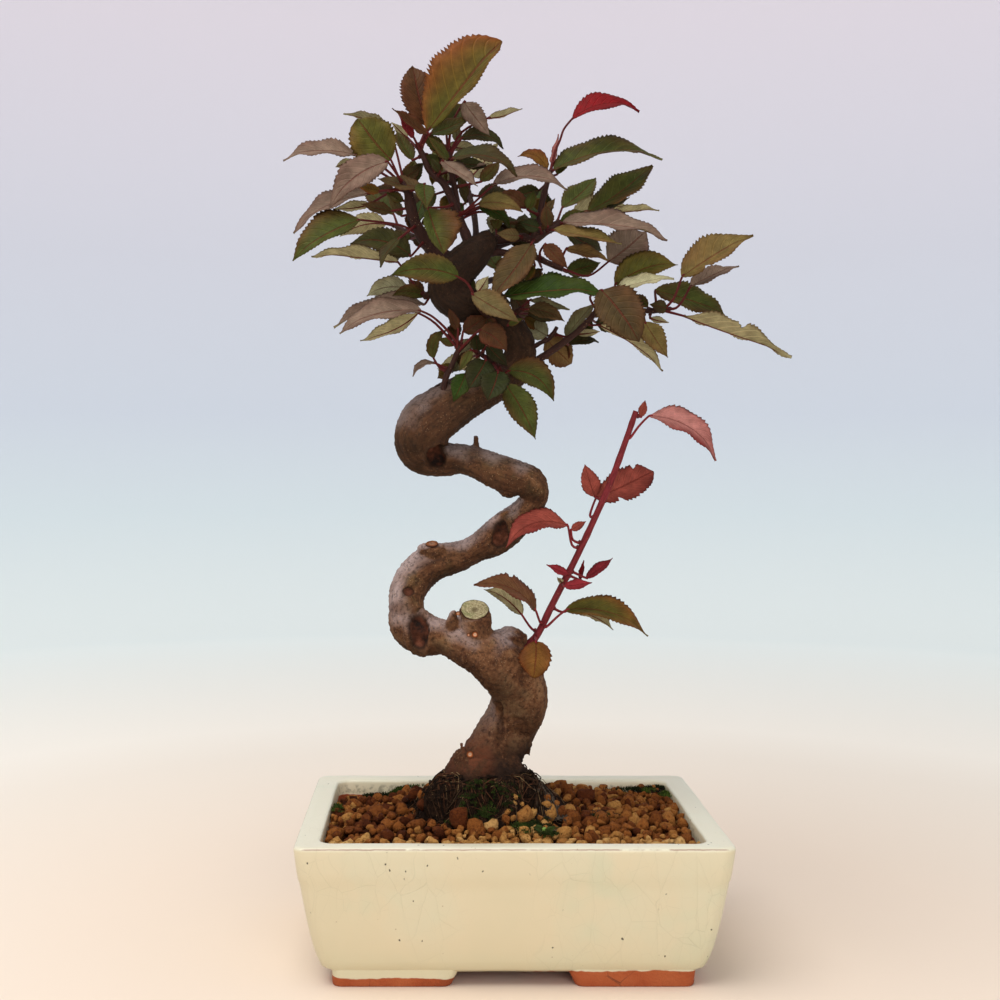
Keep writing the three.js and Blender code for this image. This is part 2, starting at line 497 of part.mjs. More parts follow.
// One slab whose top is a net of triangles, every third of its points the top of a clod
function clodSlab() {
  const random = randomSource(SOIL.seed);
  const step = SOIL.grain / Math.sqrt(3);
  const rowStep = (step * Math.sqrt(3)) / 2;
  const columns = Math.ceil((OPENING.width + SOIL.grain) / step);
  const rows = Math.ceil((OPENING.depth + SOIL.grain) / rowStep);
  const top = [];
  for (let row = 0; row <= rows; row += 1) {
    for (let column = 0; column <= columns; column += 1) {
      const shift = row % 2 === 0 ? 0 : 0.5;
      const x = (column + shift - columns / 2) * step + (random() - 0.5) * 2 * SOIL.stir;
      const y = (row - rows / 2) * rowStep + (random() - 0.5) * 2 * SOIL.stir - OPENING.forward;
      const isTop = (((column - Math.floor(row / 2) - row) % 3) + 3) % 3 === 0;
      const relief = isTop ? SOIL.rise : -SOIL.sink;
      top.push(new THREE.Vector3(x, y, soilHeight(x, y) + relief * (0.6 + 0.8 * random())));
    }
  }
  const wide = columns + 1;
  const faces = [];
  for (let row = 0; row < rows; row += 1) {
    for (let column = 0; column < columns; column += 1) {
      const [a, b] = [row * wide + column, row * wide + column + 1];
      const [c, d] = [b + wide, a + wide];
      faces.push(...(row % 2 === 0 ? [a, b, d, b, c, d] : [a, b, c, a, c, d]));
    }
  }
  const rim = [];
  for (let column = 0; column < columns; column += 1) rim.push(column);
  for (let row = 0; row < rows; row += 1) rim.push(row * wide + columns);
  for (let column = columns; column > 0; column -= 1) rim.push(rows * wide + column);
  for (let row = rows; row > 0; row -= 1) rim.push(row * wide);
  const under = top.length;
  const points = [...top, ...rim.map((index) => new THREE.Vector3(top[index].x, top[index].y, 0))];
  points.push(new THREE.Vector3(0, 0, 0));
  rim.forEach((index, place) => {
    const next = (place + 1) % rim.length;
    faces.push(index, under + place, under + next, index, under + next, rim[next]);
    faces.push(under + next, under + place, points.length - 1);
  });
  const geometry = new THREE.BufferGeometry().setFromPoints(points);
  geometry.setIndex(faces);
  return solid(geometry);
}

// Root mound: the dark fibrous ball of old soil and fine roots that the trunk stands in
const MOUND_RISE = [[0.62, 0], [1, 12], [0.97, 17.5], [0.8, 20.4], [0.45, 22.6]];

function moundSolid(grow = 0) {
  const sides = 12;
  const rings = MOUND_RISE.map(([share, rise], level) => {
    const ring = [];
    for (let side = 0; side < sides; side += 1) {
      const angle = (side / sides) * Math.PI * 2;
      const ripple = 1 + 0.05 * Math.sin(angle * 3 + 1) + 0.03 * Math.sin(angle * 7);
      const lumps = level > 1 ? 0.5 * Math.sin(side * 2.4 + level * 1.7) : 0;
      const x = MOUND.x + (MOUND.halfWidth * share * ripple + grow) * Math.cos(angle);
      const y = MOUND.y + (MOUND.halfDepth * share * ripple + grow) * Math.sin(angle);
      const lift = level > 1 ? grow : -grow;
      ring.push(new THREE.Vector3(x, y, MOUND.bottom + rise + lumps + lift));
    }
    return ring;
  });
  return loft(rings);
}

// Wood and stems: hulls between successive rings across a path, which lap a little and are joined
function ringAcross(centre, along, radius, sides, roughness, seed) {
  const depthwise = Math.abs(along.y) > 0.95 ? new THREE.Vector3(1, 0, 0) : new THREE.Vector3(0, 1, 0);
  const across = new THREE.Vector3().crossVectors(along, depthwise).normalize();
  const up = new THREE.Vector3().crossVectors(across, along).normalize();
  const ring = [];
  for (let side = 0; side < sides; side += 1) {
    const angle = ((side + 0.5) / sides) * Math.PI * 2;
    const rough = 1 + roughness * Math.cos(2 * angle + seed * 1.3);
    const point = centre.clone();
    point.addScaledVector(across, radius * rough * Math.cos(angle));
    point.addScaledVector(up, radius * rough * Math.sin(angle));
    ring.push(point);
  }
  return ring;
}

function sweep(centres, radii, sides, roughness = 0) {
  const ways = centres.map((centre, index) => {
    const before = centres[Math.max(index - 1, 0)];
    const after = centres[Math.min(index + 1, centres.length - 1)];
    return new THREE.Vector3().subVectors(after, before).normalize();
  });
  const rings = centres.map((centre, index) =>
    ringAcross(centre, ways[index], radii[index], sides, roughness, index));
  const parts = [];
  for (let index = 0; index + 1 < rings.length; index += 1) {
    const start = centres[index].clone().addScaledVector(ways[index], -LAP * radii[index]);
    const end = centres[index + 1].clone().addScaledVector(ways[index + 1], LAP * radii[index + 1]);
    parts.push(solid(new ConvexGeometry([start, ...rings[index], ...rings[index + 1], end])));
  }
  return union(parts);
}

function limb(stations, sides, roughness = 0, grow = 0) {
  const centres = stations.map(([column, row, depth]) => at(column, row, depth));
  const radii = stations.map(([, , depth, radius]) => size(radius, depth) + grow);
  return sweep(centres, radii, sides, roughness);
}

function ball([column, row, depth, across, deep, high], grow = 0) {
  const lump = new THREE.IcosahedronGeometry(1, 1);
  lump.scale(across + grow, deep + grow, high + grow);
  const { x, y, z } = at(column, row, depth);
  lump.translate(x, y, z);
  return solid(lump);
}

function cutStub(grow) {
  const base = at(...CUT_STUB.base);
  const top = at(...CUT_STUB.top);
  const face = new THREE.Vector3(0, -CUT_STUB.lean, Math.sqrt(1 - CUT_STUB.lean ** 2));
  const radius = size(CUT_STUB.radius, CUT_STUB.top[2]) + grow;
  const foot = ringAcross(base, new THREE.Vector3(0, 0, 1), radius * 1.15, 12, 0, 1);
  const rim = ringAcross(top.addScaledVector(face, grow), face, radius, 12, 0, 1);
  return solid(new ConvexGeometry([...foot, ...rim]));
}

function trunkSolid(grow = 0) {
  const parts = [limb(TRUNK, 8, 0.05, grow), cutStub(grow)];
  parts.push(...ROOTS.map((root) => limb(root, 5, 0.05, grow)));
  parts.push(...TWIG_STUBS.map((stub) => limb(stub, 5, 0, grow)));
  parts.push(...KNOTS.map((knot) => ball(knot, grow)));
  const wood = union(parts);
  return grow > 0 ? wood : HOLLOWS.reduce((left, hollow) => left.subtract(ball(hollow)), wood);
}

// Leaves: a folded, arched blade with a toothed edge, on a petiole that runs on as the midrib
function halfWidthShare(share) {
  return (share ** BLADE.round * (1 - share) ** BLADE.point) / BLADE.widest;
}

function bladeFrame([, baseColumn, baseRow, tipColumn, tipRow, halfWidth, bow, baseDepth, tipDepth, look]) {
  const base = at(baseColumn, baseRow, baseDepth);
  const tip = at(tipColumn, tipRow, tipDepth);
  const axis = new THREE.Vector3().subVectors(tip, base);
  const length = axis.length();
  const along = axis.clone().normalize();
  const middleDepth = (baseDepth + tipDepth) / 2;
  const toEye = EYE.clone().sub(base.clone().add(tip).multiplyScalar(0.5)).normalize();
  const upward = new THREE.Vector3().crossVectors(along, toEye).normalize();
  if (upward.z < 0) {
    upward.negate();
  }
  const facing = toEye.addScaledVector(along, -toEye.dot(along)).normalize();
  const seenHalf = size(Math.max(halfWidth, 3), middleDepth);
  const trueHalf = Math.max(seenHalf, BLADE.leastHalfWidth * length);
  const shown = Math.min(0.97, seenHalf / trueHalf) * (look === "pale" ? -1 : 1);
  const normal = upward.clone().multiplyScalar(Math.sqrt(1 - shown * shown)).addScaledVector(facing, shown);
  const lifted = Math.sqrt(1 - shown * shown) * (BLADE.arch * length + Math.sin(BLADE.fold) * trueHalf);
  return { base, axis, length, upward, normal, trueHalf, bow: size(bow, middleDepth) - BLADE.seen * lifted };
}

function bladePoint(frame, share) {
  const bulge = 4 * share * (1 - share);
  return frame.base.clone().addScaledVector(frame.axis, share)
    .addScaledVector(frame.upward, frame.bow * bulge)
    .addScaledVector(frame.normal, BLADE.arch * frame.length * bulge);
}

function bladeSection(frame, share, side, reach) {
  const step = 0.02;
  const ahead = bladePoint(frame, Math.min(share + step, 1));
  const along = ahead.sub(bladePoint(frame, Math.max(share - step, 0))).normalize();
  const normal = frame.normal.clone().addScaledVector(along, -frame.normal.dot(along)).normalize();
  const across = new THREE.Vector3().crossVectors(along, normal);
  const [level, rise] = [Math.cos(BLADE.fold), Math.sin(BLADE.fold)];
  const point = bladePoint(frame, share);
  point.addScaledVector(across, side * level * reach).addScaledVector(normal, rise * reach);
  const skin = side === 0
    ? normal.multiplyScalar(1 / level)
    : normal.multiplyScalar(level).addScaledVector(across, -side * rise);
  return { share, point, skin: skin.multiplyScalar(BLADE.thick / 2) };
}

function toothedEdge(frame, side, teeth) {
  const edge = [];
  for (let tooth = 0; tooth < teeth; tooth += 1) {
    const start = 0.04 + (0.9 * tooth) / teeth;
    const point = start + (0.9 / teeth) * 0.72;
    edge.push(bladeSection(frame, start + 0.02, side, BLADE.notch * frame.trueHalf * halfWidthShare(start + 0.02)));
    edge.push(bladeSection(frame, point, side, frame.trueHalf * halfWidthShare(point)));
  }
  return edge;
}

// Triangles between the midrib and one edge, taking whichever next point comes first
function stripFaces(rib, edge) {
  const faces = [];
  let [r, e] = [0, 0];
  while (r + 1 < rib.length || e + 1 < edge.length) {
    const takeEdge = r + 1 >= rib.length || (e + 1 < edge.length && edge[e + 1].share < rib[r + 1].share);
    if (takeEdge) {
      faces.push([rib[r], edge[e], edge[e + 1]]);
      e += 1;
    } else {
      faces.push([rib[r], edge[e], rib[r + 1]]);
      r += 1;
    }
  }
  return faces.filter(([a, b, c]) => a !== b && b !== c && a !== c);
}

// The petiole's rings of three points, above, left and right, carried along its path
function petioleRings(path, frame) {
  let above = frame.normal;
  return path.map((place, index) => {
    const before = index === 0 ? bladePoint(frame, 0.05) : path[index - 1];
    const after = path[Math.min(index + 1, path.length - 1)];
    const along = new THREE.Vector3().subVectors(before, after).normalize();
    above = above.clone().addScaledVector(along, -above.dot(along)).normalize();
    const across = new THREE.Vector3().crossVectors(along, above);
    const radius = PETIOLE.radius * (index === path.length - 1 ? PETIOLE.end : 1);
    return [[1, 0], [-0.5, -0.87], [-0.5, 0.87]].map(([high, wide]) =>
      place.clone().addScaledVector(above, high * radius).addScaledVector(across, wide * radius));
  });
}

// Blade and petiole as one skin: both faces, the rim between them, and the petiole's sides and end
function leafSolid(row, stems, number) {
  const frame = bladeFrame(row);
  const teeth = frame.length > 30 ? 4 : frame.length > 20 ? 3 : frame.length > 11 ? 2 : 1;
  const rings = petioleRings(petiolePath(row, frame, stems, number), frame);
  const [above, onLeft, onRight] = rings[0];
  const middle = above.clone().add(onLeft).multiplyScalar(0.5);
  const rib = [{ share: 0, point: middle, skin: above.clone().sub(middle) }];
  for (let station = 1; station <= teeth; station += 1) {
    rib.push(bladeSection(frame, station / teeth, 0, 0));
  }
  const tip = rib[teeth];
  const bare = new THREE.Vector3();
  const right = [{ share: 0, point: onRight, skin: bare }, ...toothedEdge(frame, 1, teeth), tip];
  const left = [{ share: 0, point: onLeft, skin: bare }, ...toothedEdge(frame, -1, teeth), tip];
  const faces = [...stripFaces(rib, right), ...stripFaces(rib, left).map(([a, b, c]) => [a, c, b])];
  const corners = [];
  const put = (section, side) => corners.push(section.point.clone().addScaledVector(section.skin, side));
  for (const [a, b, c] of faces) {
    [[a, 1], [b, 1], [c, 1], [a, -1], [c, -1], [b, -1]].forEach(([section, side]) => put(section, side));
  }
  const rim = [...left, ...right.slice(0, -1).reverse()];
  rim.slice(0, -1).forEach((from, index) => {
    const to = rim[index + 1];
    [[from, 1], [to, -1], [from, -1], [from, 1], [to, 1], [to, -1]].forEach(([section, side]) => put(section, side));
  });
  rings.slice(1).forEach((ring, index) => {
    ring.forEach((point, side) => {
      const next = (side + 1) % ring.length;
      const [a, b] = [rings[index][side], rings[index][next]];
      corners.push(a, b, ring[next], a, ring[next], point);
    });
  });
  const end = rings[rings.length - 1];
  corners.push(end[0], end[1], end[2]);
  const geometry = new THREE.BufferGeometry().setFromPoints(corners);
  return solid(geometry);
}

// The nearest point on the stems' middles, kept back from a stem's end by the leaf's own share
function nearestOnStems(stems, place, back = 0) {
  let best = null;
  for (const stem of stems) {
    for (let index = 1; index + 1 < stem.length; index += 1) {
      const segment = new THREE.Line3(at(...stem[index].slice(0, 3)), at(...stem[index + 1].slice(0, 3)));
      const isLast = index + 2 === stem.length;
      const most = isLast ? Math.max(0.1, 1 - back / segment.distance()) : 1;
      const share = Math.min(segment.closestPointToPointParameter(place, true), most);
      const point = segment.at(share, new THREE.Vector3());
      const distance = point.distanceTo(place);
      if (best === null || distance < best.distance) {
        best = { point, distance };
      }
    }
  }
  return best.point;
}

// From the blade's base by the places read for it to the nearest point inside a stem
function petiolePath(row, frame, stems, number) {
  const [baseDepth, way] = [row[7], row[10]];
  const path = [bladePoint(frame, 0)];
  way.forEach(([column, line], index) => {
    const onStem = nearestOnStems(stems, at(column, line, baseDepth));
    const blend = (index + 1) / (way.length + 1);
    path.push(at(column, line, baseDepth + (onStem.y - baseDepth) * blend));
  });
  const back = PETIOLE.firstNode + PETIOLE.nodeStep * (number % PETIOLE.nodes);
  path.push(nearestOnStems(stems, path[path.length - 1], back));
  return path;
}

function shootSolid({ stems, leaves }) {
  const wood = stems.map((stem) => limb(stem, 4));
  return union([...wood, ...leaves.map((row, number) => leafSolid(row, stems, number))]);
}

// Finishes: colour, roughness
const FINISH = {
  glaze: [0xe2d2ae, 0.25], plastic: [0x23282a, 0.7], clay: [0xa9683a, 0.95], peat: [0x3b2d1f, 1],
  bark: [0x7a6a62, 0.9], leaf: [0x5e5f35, 0.5], young: [0xb9503c, 0.45], sprout: [0x6f9a3a, 0.5],
};

const pieces = [];
pieces.push(["pot", potSolid(), FINISH.glaze]);
pieces.push(["drain_mesh_left", drainMesh(-1), FINISH.plastic]);
pieces.push(["drain_mesh_right", drainMesh(1), FINISH.plastic]);

const woodRoom = trunkSolid(GAP);
const sproutRoom = limb(SHOOTS.sprout.stems[0], 6, 0, GAP);
const soil = clodSlab().intersect(cavity(GAP, [0, POT.height + 20]))
  .subtract(moundSolid(GAP)).subtract(woodRoom).subtract(sproutRoom)
  .subtract(drainRoom(-1)).subtract(drainRoom(1));
pieces.push(["soil", soil, FINISH.clay]);
pieces.push(["root_mound", moundSolid().subtract(woodRoom), FINISH.peat]);
pieces.push(["trunk", trunkSolid(), FINISH.bark]);

for (const [name, shoot] of Object.entries(SHOOTS)) {
  const finish = { red_shoot: FINISH.young, sprout: FINISH.sprout }[name] ?? FINISH.leaf;
  pieces.push([name, shootSolid(shoot).subtract(woodRoom), finish]);
}

// The origin is under the middle of the whole plant. Each piece is welded where it stands.
const box = new THREE.Box3();
for (const [, body] of pieces) {
  const { min, max } = largestBody(body).boundingBox();
  box.union(new THREE.Box3(new THREE.Vector3(...min), new THREE.Vector3(...max)));
}
const middle = box.getCenter(new THREE.Vector3());

const bonsai = new THREE.Group();
for (const [name, body, [color, roughness]] of pieces) {
  let geometry = geometryOf(largestBody(body)).translate(-middle.x, -middle.y, 0);
  for (let round = 0; round < WELD_ROUNDS; round += 1) {
    geometry = geometryOf(largestBody(solid(geometry)));
  }
  const mesh = new THREE.Mesh(geometry, new THREE.MeshStandardMaterial({ color, roughness, metalness: 0 }));
  mesh.name = name;
  bonsai.add(mesh);
}

export default bonsai;
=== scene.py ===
import math
import random

import bmesh
import bpy
from mathutils import Matrix, Vector, kdtree, noise


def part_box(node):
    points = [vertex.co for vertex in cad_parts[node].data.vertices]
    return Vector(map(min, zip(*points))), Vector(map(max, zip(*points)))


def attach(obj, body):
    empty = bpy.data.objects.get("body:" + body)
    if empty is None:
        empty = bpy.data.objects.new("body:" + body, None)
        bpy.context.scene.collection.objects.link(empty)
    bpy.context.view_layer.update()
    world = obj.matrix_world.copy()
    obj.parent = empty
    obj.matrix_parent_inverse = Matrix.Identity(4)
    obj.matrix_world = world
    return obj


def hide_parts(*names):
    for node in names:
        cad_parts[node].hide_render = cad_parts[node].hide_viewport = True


# Apple bonsai: bark, leaves, soil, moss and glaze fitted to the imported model, and the studio round it.
# Every piece is shaped in millimetres from the middle of the pot, then set into the model's own frame.
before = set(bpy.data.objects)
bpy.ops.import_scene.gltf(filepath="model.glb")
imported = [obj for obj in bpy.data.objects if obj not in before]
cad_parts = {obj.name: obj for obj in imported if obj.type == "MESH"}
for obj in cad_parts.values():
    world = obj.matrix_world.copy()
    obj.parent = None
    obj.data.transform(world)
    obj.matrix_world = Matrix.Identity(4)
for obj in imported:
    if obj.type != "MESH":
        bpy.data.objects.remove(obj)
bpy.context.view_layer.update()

MM = 0.001
pot_low, pot_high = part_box("pot")
POT_MIDDLE = (pot_low + pot_high) / 2
TO_FRAME = Matrix.Translation((POT_MIDDLE.x, POT_MIDDLE.y, 0)) @ Matrix.Scale(MM, 4)

# The view that the plant's places are read from: where the eye is, its focal length and its centre.
# A place is a picture column and row, with its depth behind the middle of the pot in millimetres.
EYE = Vector((-31.5, -621.7, 216.6))
FOCAL = 1382
PICTURE = 1000
CENTRE = (437, 460)


def at(column, row, depth):
    scale = (depth - EYE.y) / FOCAL
    return Vector(((column - CENTRE[0]) * scale + EYE.x, depth, EYE.z - (row - CENTRE[1]) * scale))


def size(pixels, depth):
    return pixels * (depth - EYE.y) / FOCAL


def on_level(column, row, height):
    """The place at a height that a column and row look at"""
    depth = (EYE.z - height) * FOCAL / (row - CENTRE[1]) + EYE.y
    return at(column, row, depth)


# Driving dimensions, in millimetres
JOIN = 1e-4
RELIEF = 0.71  # side of the cubes that the trunk's limbs are joined in
BLADE = {
    "thick": 0.34, "least": 0.25, "fold": 0.34, "arch": 0.04, "columns": 8,
    "profile": (0.8, 1.2),  # how full the blade is towards its base and towards its point
    "seen": 0.9,  # share of the fold and arch that the bow read for a leaf holds already
}
PETIOLE = {"radius": 0.62, "end": 0.8, "first": 0.5, "step": 1.5, "nodes": 4}
OPENING = {"width": 159, "depth": 111, "corner": 6, "forward": 1}
SOIL = {"edge": 54.6, "peak": 61, "heap": 4.5, "trough": 5, "floor": 14.3}
BED = {"cell": 1.8, "sunk": 2.4, "narrowing": 7.2}  # the soil's body under the granules
GRANULES = {
    "count": 1500, "seed": 20, "kinds": 9, "tries": 7,
    "radius": 2.5, "spread": 0.34, "least": 1.1, "most": 4.6,
}
FINE_ROOTS = {"count": 430, "seed": 7, "pale": 0.12, "steps": 12}
MOSS_LEAVES = {"count": 13, "seed": 31}
MOUND = {
    "x": -8, "y": -1, "half_width": 37, "half_depth": 29, "bottom": 40, "rim": 56, "top": 73, "crust": 1.7,
}
# The studio in metres: radius of its floor and of the curve up, height, length of the wash, and its glow
STUDIO = {"floor": 1.1, "curve": 0.5, "wall": 1.35, "run": 2.1, "glow": 0.222}
SENSOR = 36  # width of the camera's sensor

# Main stem from the soil to its top: column, row, depth and radius, the radius in picture units too
TRUNK = [
    [485, 858, 0, 22], [485, 838, 0, 30], [486, 815, 0, 34], [487, 790, 0, 35], [489, 765, 1, 31],
    [500, 742, 4, 28], [513, 720, 6, 27], [520, 700, 0, 26.5], [515, 680, -5, 27], [498, 662, -10, 27],
    [477, 648, -12, 24], [447, 637, -9, 17.5], [428, 634, -6, 20], [412, 625, -2, 21], [407, 608, 0, 18],
    [408, 590, 4, 19], [418, 573, 6, 19], [433, 562, 8, 18], [457, 557, 10, 16], [475, 549, 8, 14.6],
    [492, 540, 4, 17], [510, 526, 0, 16.5], [525, 512, -3, 14], [535, 497, -5, 13.6], [530, 483, -8, 16],
    [515, 477, -8, 16.5], [498, 471, -6, 17], [478, 463, -3, 15.6], [460, 459, 0, 14.8], [443, 459, 3, 17],
    [424, 453, 4, 22], [419, 439, 0, 25.6], [426, 424, -4, 28], [441, 412, -4, 25], [465, 398, -2, 22],
    [487, 388, 0, 20], [508, 375, 4, 18], [520, 355, 6, 14.5], [516, 338, 6, 14.5], [500, 320, 4, 15],
    [480, 310, 2, 17], [460, 303, -2, 19], [447, 290, -4, 19], [455, 272, -4, 19], [470, 257, -2, 17],
    [482, 245, 0, 13], [492, 237, 2, 9],
]
# Surface roots and dead twigs, written as the stem is
ROOTS = [
    [[474, 764, -4, 20], [457, 784, -8, 16], [438, 804, -12, 11], [420, 820, -16, 7], [404, 836, -18, 3]],
    [[472, 784, 2, 14], [444, 797, 6, 9], [420, 809, 8, 5], [404, 818, 8, 3]],
    [[501, 768, -4, 19], [516, 786, -8, 16], [534, 804, -12, 11], [552, 820, -16, 6], [566, 836, -18, 3]],
    [[502, 784, 2, 14], [528, 797, 6, 9], [552, 811, 8, 4]],
    [[481, 768, -8, 19], [471, 794, -18, 11], [463, 816, -24, 6], [456, 834, -28, 3]],
    [[494, 770, -8, 19], [506, 796, -18, 11], [516, 816, -24, 6], [524, 834, -28, 3]],
    [[481, 786, 8, 14], [467, 791, 20, 9], [457, 802, 29, 4]],
    [[498, 786, 8, 14], [511, 791, 20, 9], [520, 802, 29, 4]],
]
TWIG_STUBS = [
    [[457, 641, -9, 10], [453.5, 629, -13, 9], [452, 619, -15, 6.6], [454, 610.5, -15.5, 2.6]],
    [[508, 520, -4, 3.6], [504.5, 513, -5, 2.2], [510.5, 509.6, -5.4, 0.9]],
    [[524, 741, 3, 4], [528, 748, 2.5, 3], [529.6, 757, 2, 0.9]],
    [[467, 759, -6, 3.2], [463.5, 751, -7, 1.8], [461, 744, -7.4, 0.7]],
    [[476, 456, -2, 4.5], [476, 446, -2.5, 3.2], [476, 436, -3, 2.6]],
    [[440, 400, -4, 6], [436, 387, -4, 1.6]],
]
# The broad cut stub: lean is how much of its cut's way out points to the front
CUT_STUB = {"base": (477, 646, -13), "top": (474.6, 610.2, -15), "radius": 15, "lean": 0.61}
# Knots of bark: place, then radii across, deep and high in millimetres
KNOTS = [
    [507, 639, -7, 9, 7, 6], [431, 550, 4, 6.5, 5, 3.8], [510, 488, -6, 5.6, 5, 3.9],
    [526, 743, 3, 2.8, 3.4, 4.2],
]
# Old wounds: place, radii across, deep and high, how deep they are sunk, in millimetres, and how raw
WOUNDS = [
    [418.5, 629, -13, 5, 7, 11.4, 3.4, 1], [436.5, 456, -7, 4.8, 6.5, 7.6, 3.2, 1],
    [499, 538, -8, 5.1, 7, 10, 3.2, 1], [408.5, 591.5, -7, 3.4, 5, 2.4, 1.6, 0.8],
    [408, 611, -8, 5, 5, 4.4, 0.5, 0.2], [500, 724, -9, 2.4, 6, 10.4, 2.2, 0.25],
    [516, 721, -12, 4, 4, 2.6, 0.9, 0.12], [437, 384, -4, 1.6, 2, 1.8, 0.3, 1],
]
# Round pruning cuts: place and radius in picture units, how far they look up, and how old they are
PRUNED = [
    [475, 634.6, -24, 3.1, 0.05, 0], [468.5, 635, -23.4, 1.6, 0.05, 0], [470, 754.4, -13, 3.6, 0.05, 0.2],
    [432, 543.4, 2, 6.4, 2.4, 0.9], [458, 613.5, -18.6, 2.3, 0.05, 0.3],
]

